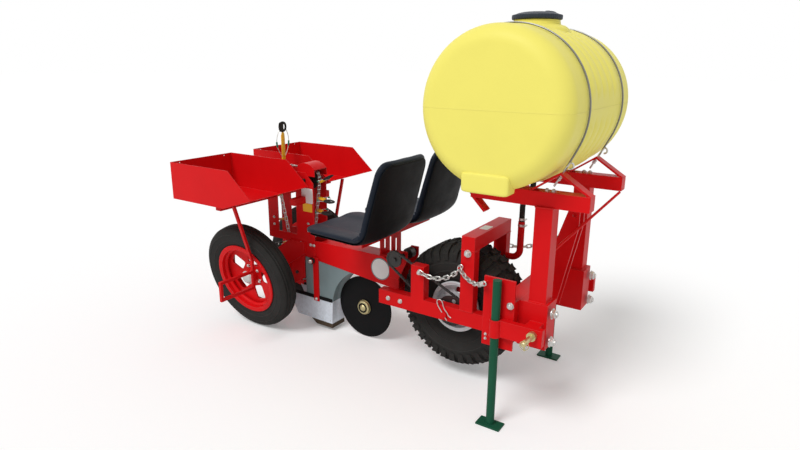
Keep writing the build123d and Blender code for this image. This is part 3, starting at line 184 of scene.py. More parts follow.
def turned(profile, centre=(0, 0, 0), axis=UP, segments=48, ring=False, flute=None):
    """A profile of (radius, height) rows turned about an axis: centre + height * axis + radius * (cos, sin).

    A ring's profile is a closed loop. A flute is a function of (row, turn) that adds to the radius.
    """
    profile = np.asarray(profile, float)
    turn = np.linspace(0, 2 * pi, segments, endpoint=False)
    first, second = square_to(axis)
    radius = np.repeat(profile[:, :1], segments, 1)
    if flute is not None:
        radius = radius + flute(np.arange(len(profile))[:, None], turn[None, :])
    circle = radius[..., None] * (np.cos(turn)[:, None] * first + np.sin(turn)[:, None] * second)
    points = np.asarray(centre) + profile[:, 1, None, None] * np.asarray(axis) + circle
    return closed(points.reshape(-1, 3), grid_faces(len(profile), segments, wrap_rows=ring))


def tube(path, radius, normal, sides=10, ring=False, flat=1.0):
    """A circle carried along a path: path + radius * (cos * side + sin * up), its ends drawn to a point.

    The normal is any vector that the path never runs along. Flat below 1 squeezes the circle along it.
    """
    path = np.asarray(path, float)
    radius = np.broadcast_to(np.asarray(radius, float), len(path))
    if ring:
        run = np.roll(path, -1, 0) - np.roll(path, 1, 0)
    else:
        run = np.gradient(path, axis=0)
        run = run[[0, *range(len(path)), -1]]
        path = path[[0, *range(len(path)), -1]]
        radius = np.concatenate(([0], radius, [0]))
    run /= np.linalg.norm(run, axis=1, keepdims=True)
    side = np.cross(normal, run)
    side /= np.linalg.norm(side, axis=1, keepdims=True)
    up = np.cross(run, side) * flat
    turn = np.linspace(0, 2 * pi, sides, endpoint=False)
    circle = np.cos(turn)[None, :, None] * side[:, None] + np.sin(turn)[None, :, None] * up[:, None]
    points = path[:, None] + radius[:, None, None] * circle
    return closed(points.reshape(-1, 3), grid_faces(len(path), sides, wrap_rows=ring))


def rounded_box(centre, half, power, axes=np.eye(3), rows=17, columns=32):
    """A box with soft corners: the sphere's sines and cosines raised to 2 / power, times the half sizes."""
    rise = np.linspace(-pi / 2, pi / 2, rows)[:, None]
    turn = np.linspace(0, 2 * pi, columns, endpoint=False)[None, :]

    def bent(value):
        return np.sign(value) * np.abs(value) ** (2 / power)

    unit = np.stack((bent(np.cos(rise)) * bent(np.cos(turn)), bent(np.cos(rise)) * bent(np.sin(turn)),
                     bent(np.sin(rise)) * np.ones_like(turn)), -1)
    points = np.asarray(centre) + (unit * np.asarray(half)) @ axes
    return closed(points.reshape(-1, 3), grid_faces(rows, columns))


def softened(points, times=2, ring=True):
    """A polygon with its corners cut at a quarter and three quarters of each side, again and again."""
    points = np.asarray(points, float)
    for _ in range(times):
        after = np.roll(points, -1, 0)
        if not ring:
            points, after = points[:-1], after[:-1]
        near, far = 0.75 * points + 0.25 * after, 0.25 * points + 0.75 * after
        points = np.stack((near, far), 1).reshape(-1, points.shape[1])
    return points


def bend_between(start, corner, end, count):
    """Points of the curve that leaves one place towards a corner and comes to another: a quadratic curve."""
    t = np.linspace(0, 1, count)[:, None]
    start, corner, end = (np.asarray(p, float) for p in (start, corner, end))
    return (1 - t) ** 2 * start + 2 * t * (1 - t) * corner + t**2 * end


def belt(centres, radii):
    """Line of a belt round circles listed anticlockwise in X and Z, as many close points.

    Each straight run leaves its circles where the normal n meets n . run = first radius - second radius.
    """
    centres, radii = np.asarray(centres, float), np.asarray(radii, float)
    run = np.roll(centres, -1, 0) - centres
    length = np.linalg.norm(run, axis=1)
    run /= length[:, None]
    lean = (radii - np.roll(radii, -1)) / length
    outward = np.stack((run[:, 1], -run[:, 0]), 1)
    normal = lean[:, None] * run + np.sqrt(1 - lean**2)[:, None] * outward
    leaves = np.arctan2(normal[:, 1], normal[:, 0])
    meets = np.roll(leaves, 1)
    sweep = (leaves - meets) % (2 * pi)
    turn = meets[:, None] + sweep[:, None] * np.linspace(0, 1, 40)
    arcs = centres[:, None] + radii[:, None, None] * np.stack((np.cos(turn), np.sin(turn)), -1)
    return arcs.reshape(-1, 2)


def paced(line, pitch):
    """Points about a pitch apart along a closed line, and the way it runs there."""
    line = np.concatenate((line, line[:1]))
    gone = np.concatenate(([0], np.cumsum(np.linalg.norm(np.diff(line, axis=0), axis=1))))
    count = int(round(gone[-1] / pitch))
    at = np.linspace(0, gone[-1], count, endpoint=False)
    points = np.stack([np.interp(at, gone, line[:, i]) for i in range(line.shape[1])], 1)
    run = np.roll(points, -1, 0) - np.roll(points, 1, 0)
    return points, run / np.linalg.norm(run, axis=1, keepdims=True)


def joined(*parts):
    """Several shells as one: their points in a row, and their faces moved on to match."""
    starts = np.cumsum([0] + [len(points) for points, _ in parts])
    faces = [quads + start for (_, quads), start in zip(parts, starts)]
    return np.concatenate([points for points, _ in parts]), np.concatenate(faces)


def copies(part, origins, axes, scales=1.0):
    """A shell set at many places: origin + scale * point in the axes given, a row for each axis."""
    points, faces = part
    scales = np.broadcast_to(scales, len(origins))[:, None, None]
    placed = np.asarray(origins)[:, None] + scales * np.einsum("nk,mkj->mnj", points, axes)
    steps = np.arange(len(origins))[:, None, None] * len(points)
    return placed.reshape(-1, 3), (faces + steps).reshape(-1, 4)


def set_along(shape, spots, axis, size):
    """A small shape at many spots, all along one axis and of one size."""
    axes = np.stack((*square_to(axis), np.asarray(axis, float)))
    return copies(shape, spots, np.broadcast_to(axes, (len(spots), 3, 3)), size)


def ring_spots(centre, axis, radius, turn):
    """Points round an axis: centre + radius * (cos * first + sin * second), both square to the axis."""
    first, second = square_to(axis)
    return np.asarray(centre) + radius * (np.cos(turn)[:, None] * first + np.sin(turn)[:, None] * second)


def hoop(rows, centre, axis, segments=96, side=1, times=2):
    """A ring whose section is a loop of (radius, height) rows with soft corners, mirrored for side -1."""
    return turned(softened(rows, times) * (1, side), centre, axis, segments, ring=True)


def mirrored(rows):
    """Half a section and its mirror image, as one loop."""
    rows = np.array(rows)
    return np.concatenate((rows, rows[::-1] * (1, -1)))


def linked(name, data):
    """A new object at the origin, linked into the scene."""
    made = bpy.data.objects.new(name, data)
    bpy.context.scene.collection.objects.link(made)
    return made


def piece(name, parts, look, body=ROOT, sharp=35.0, stands_for=()):
    """A new object of several shells, smooth up to the sharp angle, riding on a body.

    Its material is the finish of its look.
    """
    points, faces = joined(*parts)
    mesh = bpy.data.meshes.new(name)
    mesh.from_pydata(points.tolist(), [], faces.tolist())
    work = bmesh.new()
    work.from_mesh(mesh)
    bmesh.ops.remove_doubles(work, verts=work.verts, dist=1e-6)
    bmesh.ops.dissolve_degenerate(work, edges=work.edges, dist=1e-7)
    work.to_mesh(mesh)
    work.free()
    mesh.shade_smooth()
    mesh.set_sharp_from_angle(angle=radians(sharp))
    mesh.materials.append(finish(look))
    made = linked(name, mesh)
    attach(made, body)
    if stands_for:
        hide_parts(*stands_for)


# Shader groups and finishes

def set_inputs(tree, node, inputs):
    """Set a node's inputs, or join them where the value is another node's output."""
    for key, value in inputs.items():
        if isinstance(value, bpy.types.NodeSocket):
            tree.links.new(value, node.inputs[key])
        else:
            node.inputs[key].default_value = value


def add_node(tree, kind, inputs=None, **settings):
    """A new node with its settings and inputs."""
    made = tree.nodes.new(kind)
    for key, value in settings.items():
        setattr(made, key, value)
    set_inputs(tree, made, inputs or {})
    return made


def maths(tree, operation, first, second=0.0, clamp=False):
    """Output of a Math node."""
    made = add_node(tree, "ShaderNodeMath", {0: first, 1: second}, operation=operation, use_clamp=clamp)
    return made.outputs[0]


def mixed(tree, factor, first, second):
    """Output of a colour Mix node."""
    return add_node(tree, "ShaderNodeMix", {0: factor, 6: first, 7: second}, data_type="RGBA").outputs[2]


def object_place(tree):
    """Object coordinates."""
    return add_node(tree, "ShaderNodeTexCoord").outputs["Object"]


def noise(tree, place, scale, **more):
    """Value of a noise texture."""
    return add_node(tree, "ShaderNodeTexNoise", {"Vector": place, "Scale": scale, **more}).outputs["Fac"]


def shader_group(name, inputs, outputs):
    """An empty shader group with its sockets: the tree, what it is given and its output node."""
    tree = bpy.data.node_groups.new(name, "ShaderNodeTree")
    for label, kind, value in inputs:
        tree.interface.new_socket(label, in_out="INPUT", socket_type=kind).default_value = value
    for label, kind in outputs:
        tree.interface.new_socket(label, in_out="OUTPUT", socket_type=kind)
    return tree, tree.nodes.new("NodeGroupInput").outputs, tree.nodes.new("NodeGroupOutput")


def coat_group():
    """Colour that varies softly, lighter along the edges as worn paint and as a painted highlight, with the edges
    rounded in the normal.
    """
    colour, value, white = "NodeSocketColor", "NodeSocketFloat", (1, 1, 1, 1)
    tree, given, out = shader_group(
        "soft_coat",
        [("Colour", colour, white), ("Edge Colour", colour, white), ("Mottle", value, 0.1),
         ("Mottle Scale", value, 5.0), ("Edge", value, 0.3), ("Edge Width", value, 0.003)],
        [("Colour", colour), ("Cloud", value), ("Normal", "NodeSocketVector")])
    cloud = noise(tree, object_place(tree), given["Mottle Scale"], Detail=5.0, Roughness=0.6)
    swing = maths(tree, "MULTIPLY", maths(tree, "SUBTRACT", cloud, 0.5), given["Mottle"])
    level = maths(tree, "ADD", 1.0, maths(tree, "MULTIPLY", swing, 2.0))
    shade = add_node(tree, "ShaderNodeVectorMath", {0: given["Colour"], "Scale": level}, operation="SCALE")
    rounded = add_node(tree, "ShaderNodeBevel", {"Radius": given["Edge Width"]}, samples=4).outputs[0]
    straight = add_node(tree, "ShaderNodeNewGeometry").outputs["Normal"]
    agree = add_node(tree, "ShaderNodeVectorMath", {0: rounded, 1: straight}, operation="DOT_PRODUCT")
    edge = maths(tree, "MULTIPLY", maths(tree, "SUBTRACT", 1.0, agree.outputs["Value"]), 5.0, clamp=True)
    # The lighter edges are partly worn paint and partly a painted highlight where the gloss catches the light.
    edge_wear_and_highlight = maths(tree, "MULTIPLY", edge, given["Edge"], clamp=True)
    coat = mixed(tree, edge_wear_and_highlight, shade.outputs[0], given["Edge Colour"])
    set_inputs(tree, out, {"Colour": coat, "Cloud": cloud, "Normal": rounded})


def grain_group():
    """Height of a fine grain over a coarser ripple, both from noise."""
    value = "NodeSocketFloat"
    tree, given, out = shader_group(
        "fine_grain", [("Scale", value, 400.0), ("Ripple Scale", value, 60.0)], [("Height", value)])
    place = object_place(tree)
    fine = noise(tree, place, given["Scale"], Detail=3.0)
    coarse = noise(tree, place, given["Ripple Scale"])
    set_inputs(tree, out, {"Height": maths(tree, "ADD", fine, coarse)})


FINISH_NAME = "{}_finish"  # the frame's own plain materials have the slots' names
COAT_ROUGHNESS = 0.12

FINISHES = {
    # look: (colour property, edge colour share (lighter edges: wear and painted highlight), roughness, rough
    # swing, metallic, coat,
    #        specular, mottle, mottle scale, edge (wear and painted highlight), edge width, grain scale, ripple
    #        scale, bump height)
    "red_paint": ("red", 0.16, 0.34, 0.1, 0, 0, 0.09, 0.1, 5, 0.4, 0.0025, 240, 34, 0.00014),
    "green_paint": ("green", 0.1, 0.4, 0.15, 0, 0, 0.1, 0.15, 8, 0.35, 0.002, 260, 40, 0.00016),
    "white_paint": ("rim", 0.3, 0.36, 0.15, 0.15, 0.1, 0.4, 0.08, 9, 0.4, 0.002, 300, 40, 0.00014),
    "black_paint": ("coulter", 0.05, 0.5, 0.2, 0, 0, 0.07, 0.3, 12, 0.45, 0.0015, 320, 60, 0.0002),
    "grey_paint": ("shoe", 0.15, 0.5, 0.2, 0.1, 0, 0.3, 0.18, 9, 0.4, 0.002, 280, 50, 0.00018),
    "zinc_steel": ("zinc", 0.3, 0.34, 0.25, 0.9, 0, 0.5, 0.2, 30, 0.3, 0.0008, 500, 90, 0.00008),
    # The straps' wire is darkened as painted shade.
    "strap_wire": ("wire", 0.2, 0.4, 0.2, 0.6, 0, 0.3, 0.2, 30, 0.2, 0.0008, 500, 90, 0.00008),
    "chain_steel": ("chain", 0.25, 0.42, 0.25, 0.8, 0, 0.4, 0.25, 40, 0.4, 0.0006, 500, 90, 0.00008),
    "tank_plastic": ("yellow", 0.1, 0.48, 0.12, 0, 0, 0.2, 0.05, 3.5, 0.1, 0.004, 180, 14, 0.00035),
    "lid_plastic": ("lid", 0.12, 0.48, 0.15, 0, 0, 0.35, 0.2, 14, 0.4, 0.002, 420, 70, 0.00018),
    "seat_plastic": ("seat", 0.05, 0.4, 0.12, 0, 0, 0.1, 0.16, 7, 0.3, 0.003, 520, 150, 0.00024),
    "clip_plastic": ("clip", 0.2, 0.42, 0.1, 0, 0, 0.3, 0.12, 18, 0.35, 0.0012, 420, 80, 0.00012),
    "black_rubber": ("rubber", 0.05, 0.62, 0.16, 0, 0, 0.08, 0.3, 20, 0.35, 0.0012, 600, 120, 0.00022),
    "tyre_rubber": ("rubber", 0.07, 0.68, 0.14, 0, 0, 0.08, 0.45, 9, 0.45, 0.002, 420, 90, 0.0004),
    "runner_steel": ("runner", 0.2, 0.6, 0.2, 0.3, 0, 0.2, 0.3, 14, 0.4, 0.0015, 320, 60, 0.0002),
    "gold_zinc": ("gold", 0.3, 0.34, 0.2, 0.85, 0, 0.5, 0.25, 40, 0.3, 0.0008, 420, 90, 0.0001),
    "sleeve_plastic": ("sleeve", 0.2, 0.45, 0.1, 0, 0, 0.3, 0.12, 40, 0.2, 0.0008, 400, 90, 0.0001),
    "plate_print": ("plate", 0.1, 0.4, 0.1, 0, 0, 0.3, 0.05, 25, 0.2, 0.0006, 500, 60, 0.00006),
    "yellow_print": ("clip", 0.1, 0.4, 0.1, 0, 0, 0.3, 0.06, 25, 0.2, 0.0006, 500, 60, 0.00006),
}


def bare_material(name):
    """A new material, its tree and its shader."""
    material = bpy.data.materials.new(name)
    material.use_nodes = True
    return material, material.node_tree, material.node_tree.nodes["Principled BSDF"]


def group_node(tree, name, inputs):
    """Outputs of a new node of a shader group."""
    return add_node(tree, "ShaderNodeGroup", inputs, node_tree=bpy.data.node_groups[name]).outputs


def plain_finish(look):
    """A finish from its row: soft coat for the colour and for the lighter edges of wear and painted highlight,
    fine grain for the bump.
    """
    (tint, share, rough, swing, metallic, coat, specular, mottle, mottle_scale,
     edge, width, grain, ripple, height) = FINISHES[look]
    colour = getattr(bpy.context.scene.planter_paint, tint)
    # Lighter colour of the edges, for wear and for a painted highlight.
    light = [c + (1 - c) * share for c in colour]
    material, tree, shader = bare_material(FINISH_NAME.format(look))
    soft = group_node(tree, "soft_coat", {
        "Colour": (*colour, 1), "Edge Colour": (*light, 1), "Mottle": mottle,
        "Mottle Scale": mottle_scale, "Edge": edge, "Edge Width": width})
    fine = group_node(tree, "fine_grain", {"Scale": grain, "Ripple Scale": ripple})
    bump = add_node(tree, "ShaderNodeBump", {
        "Height": fine["Height"], "Distance": height, "Strength": 1.0, "Normal": soft["Normal"]})
    centred = maths(tree, "SUBTRACT", soft["Cloud"], 0.5)
    gloss = maths(tree, "ADD", maths(tree, "MULTIPLY", centred, 2 * swing), rough, clamp=True)
    set_inputs(tree, shader, {
        "Metallic": metallic, "Coat Weight": coat, "Coat Roughness": COAT_ROUGHNESS,
        "Specular IOR Level": specular, "Base Color": soft["Colour"], "Roughness": gloss,
        "Normal": bump.outputs[0]})
    return material


def galvanised_finish():
    """Zinc sheet: flat cells of slightly different greys, as the metal sets in spangles."""
    dark, pale, smooth, swing = 0.86, 1.12, 0.34, 0.16
    material, tree, shader = bare_material(FINISH_NAME.format("galvanised"))
    place = object_place(tree)
    cells = add_node(tree, "ShaderNodeTexVoronoi", {"Vector": place, "Scale": 70.0, "Randomness": 1.0})
    cloud = noise(tree, place, 9.0, Detail=4.0)
    grey = add_node(tree, "ShaderNodeSeparateColor", {"Color": cells.outputs["Color"]}).outputs[0]
    level = maths(tree, "ADD", maths(tree, "MULTIPLY", grey, 0.5), maths(tree, "MULTIPLY", cloud, 0.5))
    tint = np.array(bpy.context.scene.planter_paint.galvanised)
    colour = mixed(tree, level, (*(tint * dark), 1), (*np.minimum(tint * pale, 1), 1))
    rough = maths(tree, "ADD", maths(tree, "MULTIPLY", grey, swing), smooth)
    set_inputs(tree, shader, {"Metallic": 0.12, "Base Color": colour, "Roughness": rough})
    return material


def finish(look):
    """The finish of a look, made on its first use."""
    name = FINISH_NAME.format(look)
    if name in bpy.data.materials:
        return bpy.data.materials[name]
    return galvanised_finish() if look == "galvanised" else plain_finish(look)


OWN_FINISH = {  # nodes whose metal looks unlike the rest of their slot
    "jack_shaft": "chain_steel", "hub_sprocket": "chain_steel", "loop_sprockets": "chain_steel",
    "shoe_runner": "runner_steel", "hitch_pins": "gold_zinc", "drive_axle": "red_paint",
    # The straps' wire is darker as painted shade.
    "tank_straps": "strap_wire",
}


# Settings

def tint_property(name, note, default):
    """A colour that a user may change."""
    return FloatVectorProperty(name=name, description=note, default=default,
                               subtype="COLOR", size=3, min=0, max=1)


class PlanterPaint(bpy.types.PropertyGroup):
    """Colours of the finishes."""

    red: tint_property("Red", "Enamel of the frame, trays and packing rims", (0.66, 0.006, 0.008))
    green: tint_property("Green", "Enamel of the parking stands", (0.011, 0.085, 0.044))
    rim: tint_property("Rim", "Silver paint of the drive rim", (0.66, 0.68, 0.70))
    coulter: tint_property("Coulter", "Black of the coulter disc", (0.008, 0.008, 0.0085))
    shoe: tint_property("Shoe", "Grey of the furrow shoe", (0.19, 0.25, 0.26))
    zinc: tint_property("Zinc", "Bright bolts, chains and wires", (0.62, 0.62, 0.60))
    # Painted shade: the straps' wire is darkened for the shade it lies in.
    wire: tint_property("Wire", "Dull wire of the drum's straps", (0.22, 0.22, 0.21))
    chain: tint_property("Chain", "Oiled roller chains", (0.060, 0.058, 0.056))
    gold: tint_property("Gold", "Passivated zinc of caps and pins", (0.58, 0.51, 0.27))
    yellow: tint_property("Yellow", "Moulded drum", (0.90, 0.81, 0.165))
    lid: tint_property("Lid", "Moulded lid", (0.015, 0.023, 0.038))
    # Near black; the blue tint is a painted reflection of the sky.
    seat: tint_property("Seat", "Moulded seats", (0.013, 0.018, 0.029))
    clip: tint_property("Clip", "Moulded clip arms", (0.88, 0.48, 0.02))
    runner: tint_property("Runner", "Scoured steel of the shoe's runner", (0.075, 0.052, 0.034))
    rubber: tint_property("Rubber", "Tyres, pads and hose", (0.028, 0.027, 0.0255))
    sleeve: tint_property("Sleeve", "Sleeves on the clips' wires", (0.007, 0.18, 0.10))
    plate: tint_property("Plate", "Blank plates", (0.80, 0.80, 0.78))
    galvanised: tint_property("Galvanised", "Zinc sheet of the skirt", (0.70, 0.76, 0.83))


def length_property(name, note, default):
    """A length that a user may change."""
    return FloatProperty(name=name, description=note, default=default, unit="LENGTH", min=0.0001, precision=4)


class PlanterSizes(bpy.types.PropertyGroup):
    """Sizes of the fine pieces."""

    rib_height: length_property("Rib height", "Ribs of the drum over its wall", 0.009)
    drum_wall: length_property("Drum wall", "Thickness of the drum's wall", 0.005)
    rib_step: length_property("Rib step", "From rib to rib", 0.084)
    shoulder: length_property("Shoulder", "Round of the drum's ends", 0.080)
    wire: length_property("Link wire", "Half the wire of the lift chain's links", 0.0036)
    seat_dish: length_property("Seat dish", "Rise of the seat's sides", 0.016)
    lug_rise: length_property("Lug rise", "Lugs over the tyre's carcass", 0.013)
    bolt: length_property("Bolt", "Half the thread of the common bolts", 0.006)
    bead: length_property("Weld bead", "Half the width of the weld beads", 0.0035)
    lug_count: IntProperty(name="Lugs", description="Lugs in each of a tyre's rows", default=34, min=8)


def angle_property(name, note, degrees):
    """An angle that a user may change."""
    return FloatProperty(name=name, description=note, default=radians(degrees), subtype="ANGLE")


class PlanterStage(bpy.types.PropertyGroup):
    """Camera and light."""

    yaw: angle_property("Yaw", "Camera's turn from +Y to -X", 33.3874)
    pitch: angle_property("Pitch", "Camera's tilt down", 15.388)
    roll: angle_property("Roll", "Camera's turn about its view", 0.4135)
    lens: FloatProperty(name="Lens", description="Focal length on a 36 mm sensor", default=26.34)
    sun: FloatProperty(name="Key light", description="Strength of the key light", default=1.75)
    sky: FloatProperty(name="Fill light", description="Strength of the even light", default=0.50)


def sizes():
    """The sizes set on the scene."""
    return bpy.context.scene.planter_sizes


# Drum, lid and straps

def drum_place():
    """Middle of the drum's axis, its wall's radius and half its length, from the node."""
    low, high = box("tank")
    end_low, end_high = end_face("tank", 1)
    axis = np.array(((low[0] + high[0]) / 2, 0, (end_low[2] + end_high[2]) / 2))
    return axis, (high[0] - low[0]) / 2 - sizes().rib_height, high[1]


def drum_section(radius, half, shoulder, dome=0.010):
    """Half section of the drum from end to end, rows of (radius, place along it).

    A shallow dome, a quarter of a circle at the shoulder, and the straight wall, mirrored.
    """
    flat = np.linspace(0, radius - shoulder, 12)
    face = np.stack((flat, dome * (flat / (radius - shoulder)) ** 2 - half), 1)
    turn = np.linspace(0, pi / 2, 14)[1:]
    corner = np.array((radius - shoulder, dome + shoulder - half))
    ends = np.concatenate((face, corner + shoulder * np.stack((np.sin(turn), -np.cos(turn)), 1)))
    wall = np.linspace(ends[-1, 1], -ends[-1, 1], 146)[1:-1]
    straight = np.stack((np.full(len(wall), radius), wall), 1)
    return np.concatenate((ends, straight, (ends * (1, -1))[::-1]))


def make_drum():
    """Drum with ribs, feet at its ends, an open filler neck, outlet and mould seam.

    Each rib is a power of a cosine along the wall, and fades at the mould's belt in a steep bell of
    the height.
    """
    belt_half, bore, seam_sink = 0.060, 0.088, 0.0006
    given = sizes()
    axis, radius, half = drum_place()
    section = drum_section(radius, half, given.shoulder)
    along = section[:, 1:]
    ribs = np.zeros_like(along)
    for i in range(-2, 3):
        offset = np.clip(np.abs(along - i * given.rib_step) / (0.46 * given.rib_step), 0, 1)
        ribs = np.maximum(ribs, np.cos(offset * pi / 2) ** 0.6)
    turn = np.linspace(0, 2 * pi, 192, endpoint=False)
    bare = np.exp(-((np.sin(turn) * section[:, :1] / belt_half) ** 4))
    wall = section[:, :1] + given.rib_height * ribs * (1 - bare)

    def walled(reach, shrink):
        return axis + np.stack((reach * np.cos(turn), along * shrink + 0 * reach, reach * np.sin(turn)), -1)

    outer = walled(wall, 1)
    inner = walled(np.clip(wall - given.drum_wall, 0, None), 1 - given.drum_wall / half)
    hole = (np.linalg.norm(outer[..., :2] - axis[:2], axis=-1) < bore + 0.016) & (outer[..., 2] > axis[2])
    shell = holed(outer.reshape(-1, 3), inner.reshape(-1, 3), grid_faces(*wall.shape), hole.ravel())

    foot = np.array((0.105, 0.041, 0.042))
    foot_y, foot_z = half - foot[1] - 0.002, axis[2] - radius - 0.006 + foot[2]
    feet = [rounded_box((axis[0], s * foot_y, foot_z), foot, 9.0, rows=33, columns=64) for _, s in SIDES]
    crown, lip = axis[2] + radius, box("tank")[1][2] - 0.0005
    neck = turned(((bore, crown - 0.060), (0.146, crown - 0.060), (0.142, crown - 0.012),
                   (0.122, crown + 0.004), (0.112, crown + 0.006), (0.102, crown + 0.010),
                   (0.099, lip), (bore, lip)), (axis[0], 0, 0), UP, 96, ring=True)
    x, _, z = box("water_hose")[1]
    boss = turned(((0, z), (0.027, z), (0.030, z + 0.003), (0.030, z + 0.05), (0, z + 0.05)),
                  (x - HOSE_R, middle("water_hose")[1], 0), UP, 40)
    outline = np.concatenate((section, (section * (-1, 1))[::-1]))
    apart = np.linalg.norm(np.diff(outline, axis=0), axis=1) > 1e-5
    outline = outline[np.concatenate(([True], apart))][:-1]
    outline = outline * (1 - seam_sink / radius, 1 - 2 * seam_sink / half)
    seam = tube(axis + np.pad(outline, ((0, 0), (0, 1))), 0.0014, UP, 8, ring=True)
    piece("drum", (shell, *feet, neck, boss, seam), "tank_plastic", stands_for=("tank",), sharp=50)


def make_lid():
    """Screw lid: fluted skirt, stepped dome, and a vent and a short grip on top."""
    low, high = box("tank_lid")
    x, y, _ = (low + high) / 2
    top = high[2]
    radius, rise, flutes, flute = (high[0] - low[0]) / 2, top - low[2] - 0.008, 56, 0.0011
    profile = np.array(((0.0, 0.001), (radius - 0.004, 0.0), (radius, 0.002), (radius, 0.018),
                        (radius - 0.002, 0.0200), (radius - 0.008, 0.0210), (radius - 0.013, 0.0225),
                        (0.080, 0.028), (0.055, 0.033), (0.030, rise), (0.0, rise)))
    profile = np.concatenate((profile[:1], softened(profile[1:-1], 2, ring=False), profile[-1:]))
    skirt = (profile[:, 0] > radius - 0.003) & (profile[:, 1] < 0.0195)

    def fluted(row, turn):
        return np.where(skirt[row], -flute * (np.cos(turn * flutes) > 0.2), 0.0)

    cap = turned(profile, (x, y, low[2]), UP, 6 * flutes, flute=fluted)
    vent = turned(((0, 0.0), (0.012, 0.0), (0.012, 0.012), (0.009, 0.0148), (0, 0.0148)),
                  (x + 0.030, y + 0.042, top - 0.015), UP, 24)
    grip = bend_between((x + 0.026, y + 0.020, top - 0.010), (x + 0.050, y + 0.050, top),
                        (x + 0.060, y + 0.075, top - 0.014), 14)
    piece("screw_lid", (cap, vent, tube(grip, 0.0048, UP, 10)), "lid_plastic", "lid", sharp=30,
          stands_for=("tank_lid",))


def make_strap_hooks():
    """Hooked bolts at the saddles' peaks: a shank through the plate, curled over the strap's end."""
    low, high = box("tank_cradle_left")
    peak = np.array((high[0] - 0.131, (low[1] + high[1]) / 2, high[2]))
    start, end, curl_r = np.array((-0.030, 0, -0.062)), np.array((0.022, 0, 0.034)), 0.013
    lean = (end - start) / np.linalg.norm(end - start)
    turn = np.linspace(0.62 * pi, -0.55 * pi, 16)
    curl = np.stack((0.030 + curl_r * np.cos(turn), 0 * turn, 0.028 + curl_r * np.sin(turn)), 1)
    line = np.concatenate((np.linspace(start, end, 12)[:-2], curl[1:]))
    nut = ((0, 0), (0.0085, 0), (0.0090, 0.001), (0.0090, 0.006), (0.0080, 0.007), (0, 0.007))
    parts = []
    for _, s in SIDES:
        foot = peak * (1, s, 1)
        parts.append(tube(foot + line, 0.0042, ACROSS, 10))
        parts += [turned(nut, foot + lean * at + (0.004, 0, 0), lean, 6) for at in (-0.040, -0.030)]
    piece("strap_hooks", parts, "zinc_steel")


# Seats

def seat_sheet(line, width, middle_y, bend_at, offset, thick, trim, fold):
    """A flat rounded section carried along the seat's line, set off inward from it.

    Half width and half thickness fall off as a quarter circle at both ends, and the sides rise with a
    power of the distance from the middle. Short ripples cross the edges at the bend.
    """
    end, corner, edge_round = 0.09, 0.066, 0.018
    bend_half, ripple_pitch, ripple_rise, crown_rise = 0.050, 0.027, 0.0055, 0.006
    gone = np.concatenate(([0], np.cumsum(np.linalg.norm(np.diff(line, axis=0), axis=1))))
    length = gone[-1]
    even = np.concatenate((np.linspace(trim, end, 26)[:-1], np.linspace(end, length - end, 150),
                           np.linspace(length - end, length - trim, 26)[1:]))
    line = np.stack([np.interp(even, gone, line[:, i]) for i in range(2)], 1)
    run = np.gradient(line, axis=0)
    run /= np.linalg.norm(run, axis=1, keepdims=True)
    inward = np.stack((-run[:, 1], run[:, 0]), 1)

    def quarter(reach):
        near = np.clip((np.minimum(even, length - even) - trim) / reach, 0, 1)
        return 1 - np.sqrt(np.clip(1 - (1 - near) ** 2, 0, 1))

    taper = 1 - 0.06 * np.clip((even - 0.55 * length) / (0.45 * length), 0, 1) ** 1.5
    half = (width - trim) * taper - corner * quarter(corner)
    depth = thick * (1 - quarter(min(edge_round, thick))) + 1e-5
    turn = np.linspace(0, 2 * pi, 72, endpoint=False)
    across = np.sign(np.cos(turn)) * np.abs(np.cos(turn)) ** 0.40
    through = np.sign(np.sin(turn)) * np.abs(np.sin(turn)) ** 0.70
    share = across * half[:, None] / width
    dish = sizes().seat_dish * np.abs(share) ** 2.6
    at_bend = np.exp(-(((even - bend_at) / bend_half) ** 4))[:, None]
    at_edge = np.clip((np.abs(share) - 0.60) / 0.2, 0, 1)
    ripple = np.sin(even * 2 * pi / ripple_pitch)[:, None] * at_bend * at_edge
    crown = np.cos(share * 3 * pi) * np.clip(1 - np.abs(share), 0, 1) * (1 - quarter(0.10))[:, None]
    relief = fold * (ripple_rise * ripple + crown_rise * crown) * np.clip(through + 0.4, 0, 1)
    level = offset + dish + depth[:, None] * through + relief
    x = line[:, :1] + inward[:, :1] * level
    z = line[:, 1:] + inward[:, 1:] * level
    rings = np.stack((x, middle_y + across * half[:, None], z), -1)
    first, last = (rings[i].mean(0, keepdims=True).repeat(len(turn), 0)[None] for i in (0, -1))
    points = np.concatenate((first, rings, last)).reshape(-1, 3)
    return closed(points, grid_faces(len(line) + 2, len(turn)))


def make_seat(name, _):
    """Moulded plastic seat of one bent shell, folded at the bend, on a thin panel a little smaller."""
    low, high = box(f"seat_{name}")
    width, middle_y = (high[1] - low[1]) / 2 + 0.010, (high[1] + low[1]) / 2
    pan_z = low[2] + 0.022
    corner = (high[0] - 0.117, pan_z + 0.006)
    pan_end, back_start = (corner[0] - 0.075, pan_z + 0.004), (corner[0] + 0.018, corner[1] + 0.100)
    pan = np.linspace((low[0] + 0.004, pan_z + 0.014), pan_end, 40)[:-1]
    bend = bend_between(pan_end, corner, back_start, 26)
    back = np.linspace(back_start, (high[0] - 0.016, high[2] - 0.003), 44)[1:]
    line = np.concatenate((pan, bend, back))
    bend_at = np.linalg.norm(np.diff(line[:len(pan) + len(bend) // 2], axis=0), axis=1).sum()
    shell = seat_sheet(line, width, middle_y, bend_at, 0.004, 0.020, 0.0, 1.0)
    panel = seat_sheet(line, width, middle_y, bend_at, -0.0172, 0.004, 0.011, 0.0)
    piece(f"seat_shell_{name}", [shell], "seat_plastic", sharp=60, stands_for=(f"seat_{name}",))
    piece(f"seat_panel_{name}", [panel], "black_paint", sharp=60)


# Wheels

NUT_TURNS = np.arange(5) * 2 * pi / 5 + 0.63


